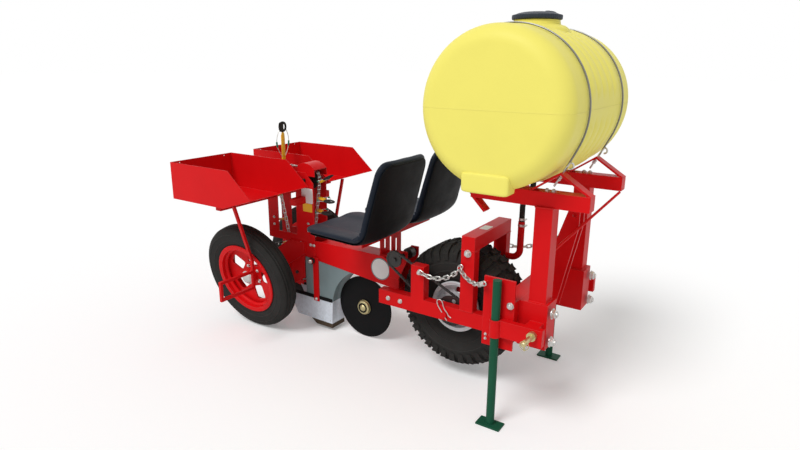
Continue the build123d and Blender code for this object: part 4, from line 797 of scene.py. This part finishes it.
def wheel_frame(joint):
    """Centre of a wheel and its axis, from its joint."""
    axis = np.array(JOINTS[joint]["axis"], float)
    return np.array(JOINTS[joint]["pos_m"], float), axis / np.linalg.norm(axis)


def sidewall_bands(centre, axis, places, rise, sink, wide=0.003):
    """Low round bands on both sides of a tyre, at places of (radius, distance from its middle)."""
    return [hoop(((r, y - rise), (r + wide, y), (r + 2 * wide, y - rise), (r + wide, y - sink)),
                 centre, axis, side=s, times=1) for s in (1, -1) for r, y in places]


def make_drive_tyre():
    """Lugged tyre: a soft carcass and two rows of slanted lugs on each side, wrapped round it.

    A lug's outline of (across, along) goes to the angle along / radius, at the carcass and at the lug's top.
    """
    given = sizes()
    centre, axis = wheel_frame("drive_wheel_spin")
    low, high = box("drive_tyre")
    half, reach, shoulder_at = (high[1] - low[1]) / 2, 0.325, 0.082
    base = reach - given.lug_rise
    upper = ((0.127, 0.078), (0.146, 0.090), (0.172, 0.106), (0.215, 0.117), (0.258, 0.1155),
             (0.288, 0.102), (base - 0.003, 0.078), (base, 0.040))
    parts = [hoop(mirrored(upper), centre, axis, 120)]
    parts += sidewall_bands(centre, axis, ((0.190, 0.1145), (0.232, 0.1185)), 0.002, 0.0065)
    shapes = (  # outline of (across, along) and how far the lug reaches down the shoulder
        (((0.004, -0.009), (0.010, -0.013), (0.048, -0.018), (0.054, -0.014),
          (0.054, 0.012), (0.048, 0.017), (0.010, 0.016), (0.004, 0.012)), 0.0),
        (((0.062, -0.018), (0.070, -0.021), (half - 0.006, -0.020), (half - 0.002, -0.016),
          (half - 0.002, 0.012), (half - 0.006, 0.016), (0.070, 0.018), (0.062, 0.014)), 0.050))
    first, second = square_to(axis)
    for outline, shoulder in shapes:
        edge = np.array(outline)
        inner = (edge - edge.mean(0)) * 0.93 + edge.mean(0)
        levels = ((edge, -0.018), (edge, given.lug_rise - 0.003), (inner, given.lug_rise - 0.0005))
        for s, stagger in ((1, 0.0), (-1, 0.5)):
            turns = (np.arange(given.lug_count) + stagger) * 2 * pi / given.lug_count
            rings = []
            for ring, rise in levels:
                fall = shoulder * np.clip((ring[:, 0] - shoulder_at) / (half - shoulder_at), 0, 1) ** 3
                radius = (base + rise - fall)[:, None]
                angle = (turns[:, None] + ring[:, 1] / reach)[..., None]
                around = np.cos(angle) * first + np.sin(angle) * second
                rings.append(centre + radius * around + s * ring[:, :1] * axis)
            foot, heart = (rings[i].mean(1, keepdims=True).repeat(len(edge), 1) for i in (0, -1))
            solids = np.stack((foot, *rings, heart), 1)
            parts += [closed(solid.reshape(-1, 3), grid_faces(5, len(edge))) for solid in solids]
    piece("lugged_tyre", parts, "tyre_rubber", "drive_wheel", sharp=32, stands_for=("drive_tyre",))


def make_drive_hub():
    """Rolled edges of the drive rim, the nuts on its disc and the valve."""
    body = "drive_wheel"
    centre, axis = wheel_frame("drive_wheel_spin")
    first, second = square_to(axis)
    edge = ((0.116, 0.086), (0.134, 0.0905), (0.1352, 0.0955), (0.128, 0.098), (0.116, 0.0945))
    piece("drive_rim_lips", [hoop(edge, centre, axis, side=s) for s in (1, -1)], "white_paint", body)
    spots = ring_spots(centre - axis * 0.071, axis, 0.057, NUT_TURNS)
    piece("drive_wheel_nuts", [set_along(bolt_shape(), spots, -axis, 0.0052)], "zinc_steel", body)
    start = centre - axis * 0.045 + first * 0.108
    stem = np.linspace(start, start - axis * 0.036 - first * 0.014, 8)
    piece("drive_valve", [tube(stem, np.linspace(0.006, 0.004, 8), second, 10)], "black_rubber", body)


def make_packing_wheel(name, side):
    """Ribbed tyre with a round shoulder, rolled rim edges, wheel nuts and a grease cap."""
    centre, axis = wheel_frame(f"packing_wheel_{name}_spin")
    out = axis * side
    body = f"packing_wheel_{name}"
    crown = 0.330
    upper = ((0.206, 0.040), (0.224, 0.045), (0.246, 0.054), (0.278, 0.0575), (0.302, 0.0545),
             (0.318, 0.046), (0.3255, 0.038), (0.3205, 0.034), (0.3205, 0.031), (crown - 0.001, 0.028),
             (crown, 0.0205), (0.3225, 0.0175), (0.3225, 0.0150), (crown, 0.0120), (crown + 0.0004, 0.004))
    bands = sidewall_bands(centre, out, ((0.252, 0.0575), (0.288, 0.0590)), 0.003, 0.006)
    piece(f"ribbed_tyre_{name}", (hoop(mirrored(upper), centre, out, 144), *bands), "tyre_rubber", body,
          sharp=40, stands_for=(f"packing_tyre_{name}",))
    edge = ((0.196, 0.044), (0.220, 0.0465), (0.2225, 0.050), (0.219, 0.0535), (0.206, 0.053), (0.194, 0.050))
    step = ((0.180, 0.012), (0.192, 0.018), (0.194, 0.030), (0.190, 0.034), (0.176, 0.022))
    lips = [hoop(rows, centre, out, 120, s) for rows, s in ((edge, 1), (edge, -1), (step, 1))]
    piece(f"packing_rim_lips_{name}", lips, "red_paint", body)
    spots = ring_spots(centre - out * 0.0145, out, 0.062, NUT_TURNS)
    cap = turned(((0, 0.028), (0.043, 0.028), (0.0435, 0.031), (0.036, 0.034), (0.030, 0.044),
                  (0.022, 0.049), (0, 0.050)), centre, out, 40)
    piece(f"packing_hub_{name}", (set_along(bolt_shape(), spots, out, 0.006), cap), "zinc_steel", body)


def make_coulter_cap():
    """Dust cap on the coulter's hub, with a ring of rivets and a flange behind it."""
    (x, _, z), _ = wheel_frame("coulter_spin")
    face = box("coulter_disc")[0][1]
    dome = ((0, 0), (0.0430, 0), (0.0430, 0.007), (0.0400, 0.0125), (0.0320, 0.0155), (0.0200, 0.017),
            (0.0165, 0.022), (0.0100, 0.0245), (0, 0.025))
    cap = turned(dome, (x, face + 0.017, z), -ACROSS, 48)
    spots = ring_spots((x, face + 0.0035, z), -ACROSS, 0.033, np.arange(6) * pi / 3)
    flange = turned(((0.029, -0.001), (0.0445, -0.001), (0.0445, 0.001), (0.029, 0.001)),
                    (x, -0.0095, z), -ACROSS, 48, ring=True)
    rivets = set_along(rivet_shape(), spots, -ACROSS, 0.0045)
    piece("coulter_cap", (cap, rivets, flange), "gold_zinc", "coulter")


# Chains and clips

def stadium(straight, bend, count):
    """Line of a link: two half circles joined by straight sides."""
    turn = np.linspace(-pi / 2, pi / 2, count)
    cap = np.stack((straight + bend * np.cos(turn), bend * np.sin(turn)), 1)
    return np.concatenate((cap, -cap))


def make_lift_chain(name, _):
    """Welded links of round wire, each where a link of the frame lies."""
    wire = sizes().wire
    links = []
    for points in islands(f"lift_chain_{name}"):
        centre, axes, half = principal(points)
        line = stadium(half[0] - half[1], half[1] - wire, 12)
        links.append(tube(centre + line @ axes[:2], wire, axes[2], 10, ring=True))
    piece(f"link_chain_{name}", links, "zinc_steel", stands_for=(f"lift_chain_{name}",))


def roller_links(line, pitch, height, plates, roller, across):
    """A roller chain along a line in X and Z: plates in pairs, by turns outside and inside, and rollers."""
    plate_half, pin_r, pin_end = 0.0009, 0.0026, plates[0] + 0.002
    points, run = paced(line, pitch)
    if len(points) % 2:
        points, run = paced(line, pitch * len(points) / (len(points) + 1))
    ahead = np.stack((run[:, 0], np.zeros(len(run)), run[:, 1]), 1)
    place = np.stack((points[:, 0], np.full(len(points), across), points[:, 1]), 1)
    axes = np.stack((ahead, np.broadcast_to(ACROSS, ahead.shape), np.cross(ahead, ACROSS)), 1)
    edge = np.insert(stadium(pitch * 0.5, height / 2, 5), 1, 0, axis=1)
    rings = [edge * scale + ACROSS * y for scale, y in ((0, -plate_half), (1, -plate_half), (1, plate_half),
                                                        (0, plate_half))]
    plate = closed(np.concatenate(rings), grid_faces(4, len(edge)))
    halfway = place + ahead * pitch / 2
    parts = [copies(plate, halfway[start::2] + ACROSS * s * gap, axes[start::2])
             for start, gap in enumerate(plates) for s in (1, -1)]
    half = np.array((roller, (pin_r, roller[1]), (pin_r, pin_end), (0, pin_end)))
    pin = turned(np.concatenate((half[::-1] * (1, -1), half)), axis=ACROSS, segments=10)
    parts.append(copies(pin, place, np.broadcast_to(np.eye(3), (len(place), 3, 3))))
    return parts


def make_drive_chain():
    """Roller chain from the wheel's hub to the jack shaft."""
    hub, _ = wheel_frame("drive_wheel_spin")
    radii = [np.ptp(box(node), axis=0)[0] / 2 + 0.0048 for node in ("hub_sprocket", "jack_shaft")]
    line = belt((hub[[0, 2]], middle("jack_shaft")[[0, 2]]), radii)
    across = middle("drive_chain")[1]
    links = roller_links(line, 0.0159, 0.0088, (0.0055, 0.0038), (0.0040, 0.0032), across)
    piece("drive_roller_chain", links, "chain_steel", stands_for=("drive_chain",))


def make_planting_chain():
    """Long-link roller chain round the three sprockets of the tower."""
    places = [tuple(principal(points)[0][[0, 2]]) for points in islands("loop_sprockets")]
    places.sort(key=lambda place: (place[1] < 0.5, -place[0]))
    radius = box("planting_chain")[1][2] - places[0][1] - 0.004
    line = belt(places, [radius] * 3)
    links = roller_links(line, 0.0254, 0.0080, (0.0095, 0.0068), (0.0038, 0.0058), 0.0)
    piece("planting_roller_chain", links, "zinc_steel", stands_for=("planting_chain",))


def make_clips():
    """Planting clips: ribbed arms, looped pads, and sprung wires with sleeves."""
    arms, pads, wires, sleeves = [], [], [], []
    centres = [points.mean(0) for points in islands("clip_pads")]
    for arm in islands("clip_arms"):
        foot = arm.mean(0)
        pad = min(centres, key=lambda place: np.linalg.norm(place - foot))
        reach = (pad - foot) / np.linalg.norm(pad - foot)
        thick = np.cross(reach, ACROSS)
        axes = np.stack((ACROSS, thick, reach))
        length = np.ptp((arm - foot) @ reach) / 2
        arms.append(rounded_box(foot, (0.012, 0.0050, length), 5.0, axes, rows=25))
        loop = softened(((-1, -1), (1, -1), (1, 1), (-1, 1)), 3) * (0.025, 0.024)
        pads.append(tube(pad + loop @ axes[[0, 2]], 0.0080, thick, 10, ring=True, flat=0.5))
        pads.append(rounded_box(pad - ACROSS * 0.012, (0.019, 0.0032, 0.028), 4.0, axes))
        for side in (ACROSS, -ACROSS):
            rib = foot + np.linspace(-0.82, 0.82, 8)[:, None] * length * reach
            arms.append(tube(rib + side * 0.0085 + thick * 0.0048, 0.0026, ACROSS, 8))
            start = pad + side * 0.029 - reach * 0.018
            end = foot + side * 0.010 - reach * length * 0.55
            line = bend_between(start, (start + end) / 2 + side * 0.060 + thick * 0.006, end, 22)
            wires.append(tube(line, 0.0019, thick, 8))
            sleeves.append(tube(line[9:14], 0.0052, thick, 10))
    piece("clip_arm_mouldings", arms, "clip_plastic", stands_for=("clip_arms",))
    piece("clip_pad_mouldings", pads, "black_rubber", stands_for=("clip_pads",))
    piece("clip_wires", wires, "zinc_steel")
    piece("clip_sleeves", sleeves, "sleeve_plastic")


# Fasteners, beads and plates

def bolt_shape():
    """Washer, chamfered hexagon and thread end of a bolt along +Z, for a thread of radius 1."""
    washer = turned(((0, 0), (2.05, 0), (2.05, 0.28), (0, 0.28)), segments=18)
    head = turned(((0, 0.28), (1.75, 0.28), (1.75, 1.35), (1.55, 1.55), (0, 1.55)), segments=6)
    thread = turned(((0, 1.5), (0.98, 1.5), (0.98, 2.0), (0.85, 2.15), (0, 2.15)), segments=12)
    return joined(washer, head, thread)


def bolts():
    """Bolts of the left side: (x, y, z, axis, size in common bolts), from the boxes of what they hold."""
    rail_low, rail_high = box("side_rail_right")
    bar_low, bar_high = box("toolbar")
    bracket_low, bracket_high = box("hitch_bracket_right")
    plate_low, plate_high = box("tower_plate_right")
    beam_low, beam_high = box("main_beam")
    arch_low, arch_high = box("arch_post_right")
    strut_low, strut_high = box("shoe_struts")
    post = np.abs(middle("hitch_post_right"))
    links = [principal(points)[0] for points in islands("lift_chain_right")]
    face, cradle_z = abs(plate_low[1]), box("tank_cradle_right")[0][2]
    rows = [(post[0] + step, post[1], cradle_z + 0.125, UP, 1.0) for step in (-0.006, 0.022)]
    rows += [(bracket_high[0], post[1] + 0.026, z, AHEAD, 2.0)
             for z in (bracket_low[2] + 0.036, bracket_high[2] - 0.040)]
    rows.append((bar_high[0] - 0.018, BRACKET_FACE, 0.585, ACROSS, 1.3))
    rows += [(bar_low[0] + 0.018, BRACKET_FACE, z, ACROSS, 0.55) for z in (0.425, 0.405)]
    rows.append((arch_low[0] + 0.035, RAIL_FACE, arch_high[2] - 0.014, ACROSS, 1.5))
    rows += [(x, RAIL_FACE, RAIL_BOLT_Z, ACROSS, 1.0)
             for x in (rail_low[0] + 0.060, rail_high[0] - 0.040, rail_low[0] + 0.135)]
    rows += [(plate_low[0] + step, face, z, ACROSS, 0.7) for step in (0.050, 0.330) for z in (0.610, 0.655)]
    for x in beam_low[0] + np.array((0.055, 0.135, 0.160)):
        rows.append((x, face if x < plate_high[0] else beam_high[1], beam_high[2] - 0.028, ACROSS, 0.8))
    rows.append((strut_low[0] + 0.014, strut_high[1], strut_high[2] - 0.020, ACROSS, 1.1))
    rows.append((strut_high[0] - 0.020, SHOE_FACE, strut_low[2] + 0.014, ACROSS, 0.8))
    rows += [(x - 0.006, abs(y) + 0.0085, z, ACROSS, 0.9) for x, y, z in (links[0], links[-1])]
    return rows


def make_bolts():
    """All the common bolts as one piece, the left side's and their mirror images."""
    rows = bolts()
    mirror = np.array([(1, s, 1) for _, s in SIDES])[:, None]
    spots = (mirror * [row[:3] for row in rows]).reshape(-1, 3)
    ways = (mirror * [row[3] for row in rows]).reshape(-1, 3)
    axes = np.array([(*square_to(way), way) for way in ways])
    scales = np.tile([row[4] for row in rows], 2) * sizes().bolt
    piece("bolts", [copies(bolt_shape(), spots, axes, scales)], "zinc_steel")


def rivet_shape():
    """Low round head of a rivet along +Z, of radius 1."""
    return turned(((0, -0.2), (1.0, -0.2), (1.0, 0.1), (0.85, 0.45), (0.4, 0.7), (0, 0.75)), segments=14)


def make_rivets():
    """Rivets of the tray walls and along the skirt's edges."""
    parts = []
    skirt_low, skirt_high = box("shoe_skirt")
    for name, s in SIDES:
        low, high = box(f"tray_{name}")
        for y in (low[1] + 0.060, high[1] - 0.060):
            spot = np.array((low[0], y, high[2] - 0.012))
            parts.append(set_along(rivet_shape(), [spot], -AHEAD, 0.0045))
            parts.append(set_along(rivet_shape(), [spot + (0.003, 0, 0)], AHEAD, 0.0045))
        y = s * skirt_high[1]
        row = np.linspace(skirt_low[0] + 0.105, skirt_high[0] - 0.022, 5)
        spots = [(x, y, skirt_low[2] + 0.018) for x in row]
        spots += [(x, y, skirt_high[2] - 0.020) for x in (skirt_low[0] + 0.030, skirt_high[0] - 0.018)]
        parts.append(set_along(rivet_shape(), spots, s * ACROSS, 0.0035))
    piece("rivets", parts, "zinc_steel")


def make_end_caps():
    """Thin plates welded over the ends of the arch, the cradle beams, the rails and the chain posts."""
    inset, sink, thick = 0.0006, 0.0010, 0.0012
    ends = [("arch_top", 1, True), ("arch_top", 1, False)]
    for name, _ in SIDES:
        ends += [(f"tank_cradle_{name}", 0, True), (f"tank_cradle_{name}", 0, False)]
        ends += [(f"side_rail_{name}", 0, False), (f"side_rail_{name}", 2, True)]
    plates = []
    for node, axis, top in ends:
        low, high = end_face(node, axis, top)
        half, inside = (high - low) / 2 - inset, (low + high) / 2
        half[axis] = thick
        inside[axis] -= sink if top else -sink
        plates.append(rounded_box(inside, half, 24.0))
    piece("end_caps", plates, "red_paint")


def make_axle_clips():
    """Spring clips through the drive axle's ends: a straight leg, a round back and a waved leg of wire."""
    x, _, z = middle("drive_axle")
    wave = ((0.0, -0.036), (0.0, -0.010), (0.0, 0.020), (0.0, 0.044), (0.008, 0.060), (0.022, 0.060),
            (0.028, 0.046), (0.020, 0.028), (0.0170, 0.014), (0.0200, 0.0), (0.0170, -0.012), (0.028, -0.032))
    across, along = softened(wave, 3, ring=False).T * 1.3
    lean = radians(38)
    parts = []
    for _, s in SIDES:
        y = np.full(len(across), s * (box("drive_axle")[1][1] - 0.006))
        path = (x + across * cos(lean) - along * sin(lean), y, z + across * sin(lean) + along * cos(lean))
        parts.append(tube(np.stack(path, 1), 0.0027, ACROSS, 8))
    piece("axle_clips", parts, "zinc_steel")


def make_shoe_trim():
    """Dark strip between the shoe's frame and skirt, and rubber bushes on the struts' pins."""
    low, high = box("shoe_skirt")
    strut_low, strut_high = box("shoe_struts")
    half = ((high[0] - low[0]) / 2 - 0.012, 0.003, 0.011)
    bush = ((0.0138, 0.010), (0.0185, 0.010), (0.0195, 0.013),
            (0.0195, 0.021), (0.0185, 0.024), (0.0138, 0.024))
    strips, bushes = [], []
    for _, s in SIDES:
        at = ((low[0] + high[0]) / 2 + 0.010, s * (high[1] + 0.001), high[2] + 0.004)
        strips.append(rounded_box(at, half, 20.0))
        spot = (strut_low[0] + 0.014, s * high[1], strut_high[2] - 0.020)
        bushes.append(turned(bush, spot, s * ACROSS, 32, ring=True))
    piece("shoe_strips", strips, "black_paint")
    piece("strut_bushes", bushes, "black_rubber")


def make_pins():
    """Nuts on the hitch pins, and the linch pins with their rings near the tips."""
    nut = ((0.0115, 0), (0.0185, 0), (0.0200, 0.002), (0.0200, 0.016), (0.0185, 0.018), (0.0115, 0.018))
    turn = np.linspace(0, 2 * pi, 30, endpoint=False)
    ring = 0.019 * np.stack((np.cos(turn), 0 * turn, np.sin(turn)), 1)
    parts = []
    for points in islands("hitch_pins"):
        low, high = points.min(0), points.max(0)
        x, y, z = (low + high) / 2
        s = 1 if y > 0 else -1
        tip, root = (high[1], low[1]) if s > 0 else (low[1], high[1])
        hole = tip - s * 0.016
        parts.append(turned(nut, (x, root + s * 0.031, z), s * ACROSS, 6, ring=True))
        parts.append(tube((x, hole, z - 0.008) + ring, 0.0017, ACROSS, 8, ring=True))
        pin = np.linspace((x - 0.002, hole, z + 0.016), (x + 0.002, hole, z - 0.030), 8)
        parts.append(tube(pin, 0.0038, ACROSS, 10))
    piece("hitch_pin_clips", parts, "gold_zinc")


def bead(start, end, radius):
    """A weld bead: a tube whose radius ripples along its run."""
    step, ripple = 0.0035, 0.0062
    length = np.linalg.norm(end - start)
    along = np.linspace(0, 1, max(int(length / step), 4))
    size = radius * (0.86 + 0.14 * np.sin(along * length / ripple * 2 * pi))
    normal = UP if abs((end - start)[2]) < 0.5 * length else AHEAD
    return tube(start + along[:, None] * (end - start), size, normal, 8)


def foot_edges(low, high, z):
    """The four edges of a box's outline at a height, as pairs of corners."""
    x, y = (low[0], high[0]), (low[1], high[1])
    corners = [np.array((x[a], y[b], z)) for a, b in ((0, 0), (1, 0), (1, 1), (0, 1))]
    return list(zip(corners, corners[1:] + corners[:1]))


def make_beads():
    """Weld beads where posts stand on rails and beams, in the frame's own paint."""
    runs = []
    arch_y = box("arch_top")[1][1]
    for name, s in SIDES:
        low, high = box(f"arch_post_{name}")
        low[1], high[1] = sorted((s * arch_y, s * (arch_y - ARCH_TUBE)))
        runs += foot_edges(low, high, low[2]) + foot_edges(low, high, high[2])
        low, high = box(f"hitch_post_{name}")
        runs += foot_edges(low, high, high[2])
        runs += foot_edges(low, high, box(f"hitch_bracket_{name}")[1][2])
    low, high = box("seat_pedestal")
    low[:2], high[:2] = (low[0] + 0.015, -PEDESTAL_HALF), (high[0] - 0.015, PEDESTAL_HALF)
    runs += foot_edges(low, high, box("main_beam")[1][2])
    piece("weld_beads", [bead(start, end, sizes().bead) for start, end in runs], "red_paint")


def make_plates():
    """Blank plates: white and yellow on the tower, a round one on the beam and a small one on the arch."""
    plate_low, plate_high = box("tower_plate_right")
    thin, radius = 0.0008, 0.060
    x, y = plate_high[0] - 0.047, plate_low[1] - thin / 2
    white = rounded_box((x, y, 0.824), (0.043, thin, 0.045), 14.0)
    yellow = rounded_box((x, y, 0.752), (0.036, thin, 0.025), 14.0)
    small = rounded_box((middle("arch_top")[0], -0.02, box("arch_top")[1][2]), (0.022, 0.036, thin), 14.0)
    spot = (-0.016, box("main_beam")[0][1], 0.475)
    disc = turned(((0, 0), (radius, 0), (radius, thin), (0, thin)), spot, -ACROSS, 64)
    inner, outer = radius - 0.002, radius + 0.0035
    edge = ((inner, thin), (outer, 0), (outer, thin * 1.6), (inner, thin * 1.6))
    piece("blank_plates", (white, disc, small), "plate_print")
    piece("blank_yellow_plate", [yellow], "yellow_print")
    piece("round_plate_rim", [turned(edge, spot, -ACROSS, 64, ring=True)], "grey_paint")


def make_water_fittings():
    """Worm clamps on the hose's ends and the pipe, each a band and a screw."""
    top_x, _, top_z = box("water_hose")[1]
    pipe_x, _, pipe_z = box("water_pipe")[1]
    y = middle("water_hose")[1]
    pipe_x -= PIPE_R
    parts = []
    for x, z, radius in ((pipe_x, pipe_z + 0.012, 0.0155), (top_x - HOSE_R, top_z - 0.018, 0.0155),
                         (pipe_x, pipe_z - 0.020, 0.0182)):
        band = ((radius - 0.002, -0.006), (radius, -0.006), (radius, 0.006), (radius - 0.002, 0.006))
        parts.append(turned(band, (x, y, z), UP, 40, ring=True))
        outside = x + radius + 0.004
        parts.append(tube(np.linspace((outside, y - 0.016, z), (outside, y + 0.014, z), 6), 0.0045, UP, 8))
    piece("hose_clamps", parts, "zinc_steel")


# Stage

FLOOR_REACH = 60.0
FLOOR_GLOW = 0.16
SUN_WAY = (0.15, 0.75, -1.0)
SUN_SPREAD = radians(24)
CAMERA_AT = (1.7591, -2.5566, 1.5981)
CAMERA_SHIFT = (0.0004, -0.00535)
SENSOR = 36.0


def make_floor():
    """A wide pale floor, a little brighter where the camera sees it."""
    floor = bpy.data.meshes.new("floor")
    corners = [(FLOOR_REACH * a, FLOOR_REACH * b, 0) for a, b in ((-1, -1), (1, -1), (1, 1), (-1, 1))]
    floor.from_pydata(corners, [], [(0, 1, 2, 3)])
    linked("floor", floor)
    pale, tree, shader = bare_material("pale_floor")
    seen = add_node(tree, "ShaderNodeLightPath").outputs["Is Camera Ray"]
    set_inputs(tree, shader, {
        "Base Color": (0.90, 0.90, 0.90, 1), "Roughness": 0.9, "Specular IOR Level": 0.0,
        "Emission Color": (1, 1, 1, 1), "Emission Strength": maths(tree, "MULTIPLY", seen, FLOOR_GLOW)})
    floor.materials.append(pale)


def make_light():
    """An even sky, white to the camera and in reflections, and a broad key light."""
    scene = bpy.context.scene
    stage = scene.planter_stage
    scene.world = bpy.data.worlds.new("sky")
    scene.world.use_nodes = True
    tree = scene.world.node_tree
    tree.nodes.clear()
    path = add_node(tree, "ShaderNodeLightPath").outputs
    seen = maths(tree, "MAXIMUM", path["Is Camera Ray"],
                 maths(tree, "MAXIMUM", path["Is Glossy Ray"], path["Is Transmission Ray"]))
    level = maths(tree, "ADD", stage.sky, maths(tree, "MULTIPLY", seen, 1.0 - stage.sky))
    glow = add_node(tree, "ShaderNodeBackground", {"Color": (1, 1, 1, 1), "Strength": level})
    add_node(tree, "ShaderNodeOutputWorld", {"Surface": glow.outputs[0]})
    lamp = bpy.data.lights.new("key", "SUN")
    lamp.energy = stage.sun
    lamp.angle = SUN_SPREAD
    linked("key", lamp).rotation_euler = Vector(SUN_WAY).to_track_quat("-Z", "Y").to_euler()


def make_camera():
    """The camera at the photograph's place, turned by its yaw, pitch and roll."""
    scene = bpy.context.scene
    stage = scene.planter_stage
    level_right = Vector((cos(stage.yaw), sin(stage.yaw), 0))
    level_ahead = Vector((-sin(stage.yaw), cos(stage.yaw), 0))
    forward = level_ahead * cos(stage.pitch) - Vector((0, 0, sin(stage.pitch)))
    right = level_right * cos(stage.roll) + level_right.cross(forward) * sin(stage.roll)
    lens = bpy.data.cameras.new("camera")
    lens.lens = stage.lens
    lens.sensor_width = SENSOR
    lens.shift_x, lens.shift_y = CAMERA_SHIFT
    lens.clip_end = 200
    scene.camera = linked("camera", lens)
    turn = Matrix((right, right.cross(forward), -forward)).transposed().to_4x4()
    scene.camera.matrix_world = Matrix.Translation(CAMERA_AT) @ turn
    scene.view_settings.view_transform = "Standard"


# Operators, panel and the run

def paint_nodes():
    """Build the shader groups and give every node of the frame its finish."""
    coat_group()
    grain_group()
    for part in frame["record"]["subparts"]:
        materials = frame["nodes"][part["node"]].data.materials
        materials.clear()
        materials.append(finish(OWN_FINISH.get(part["node"], part["material_slot"])))


def each_side(make):
    """A maker that runs another for the left and the right side."""
    def run():
        for name, side in SIDES:
            make(name, side)
    return run


class Step:
    """What the operators share: each runs its makers in turn."""

    makers = ()

    def execute(self, context):
        for make in self.makers:
            make()
        return {"FINISHED"}


class PLANTER_OT_finishes(Step, bpy.types.Operator):
    """Build the shader groups and give every node of the frame its finish."""

    bl_idname = "planter.finishes"
    bl_label = "Finishes"
    makers = (paint_nodes,)


class PLANTER_OT_drum(Step, bpy.types.Operator):
    """Make the water drum with its lid and strap hooks."""

    bl_idname = "planter.drum"
    bl_label = "Drum"
    makers = (make_drum, make_lid, make_strap_hooks)


class PLANTER_OT_seats(Step, bpy.types.Operator):
    """Make both moulded seats."""

    bl_idname = "planter.seats"
    bl_label = "Seats"
    makers = (each_side(make_seat),)


class PLANTER_OT_wheels(Step, bpy.types.Operator):
    """Make the lugged drive tyre, the packing wheels, their nuts and the coulter's cap."""

    bl_idname = "planter.wheels"
    bl_label = "Wheels"
    makers = (make_drive_tyre, make_drive_hub, each_side(make_packing_wheel), make_coulter_cap)


class PLANTER_OT_chains(Step, bpy.types.Operator):
    """Make the lift chains, the drive chain, the planting chain and its clips."""

    bl_idname = "planter.chains"
    bl_label = "Chains"
    makers = (each_side(make_lift_chain), make_drive_chain, make_planting_chain, make_clips)


class PLANTER_OT_fasteners(Step, bpy.types.Operator):
    """Make bolts, pins, rivets, clips, clamps, weld beads and blank plates."""

    bl_idname = "planter.fasteners"
    bl_label = "Fasteners"
    makers = (make_bolts, make_pins, make_rivets, make_end_caps, make_axle_clips, make_shoe_trim,
              make_water_fittings, make_beads, make_plates)


class PLANTER_OT_stage(Step, bpy.types.Operator):
    """Make the floor, the lights and the camera."""

    bl_idname = "planter.stage"
    bl_label = "Stage"
    makers = (make_floor, make_light, make_camera)


STEPS = (PLANTER_OT_finishes, PLANTER_OT_drum, PLANTER_OT_seats, PLANTER_OT_wheels, PLANTER_OT_chains,
         PLANTER_OT_fasteners, PLANTER_OT_stage)


class PLANTER_PT_panel(bpy.types.Panel):
    """Lists the steps in their order."""

    bl_idname = "PLANTER_PT_panel"
    bl_label = "Transplanter"
    bl_space_type = "VIEW_3D"
    bl_region_type = "UI"
    bl_category = "Planter"

    def draw(self, context):
        for step in STEPS:
            self.layout.operator(step.bl_idname)


GROUPS = {"planter_paint": PlanterPaint, "planter_sizes": PlanterSizes, "planter_stage": PlanterStage}
CLASSES = (*GROUPS.values(), *STEPS, PLANTER_PT_panel)


def register():
    """Register the classes and hang the settings on the scene."""
    for kind in CLASSES:
        bpy.utils.register_class(kind)
    for name, group in GROUPS.items():
        setattr(bpy.types.Scene, name, PointerProperty(type=group))


def unregister():
    """Take the settings and classes away again."""
    for name in GROUPS:
        delattr(bpy.types.Scene, name)
    for kind in reversed(CLASSES):
        bpy.utils.unregister_class(kind)


def main():
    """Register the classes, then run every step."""
    register()
    for step in STEPS:
        family, name = step.bl_idname.split(".")
        getattr(getattr(bpy.ops, family), name)()


if __name__ == "__main__":
    main()
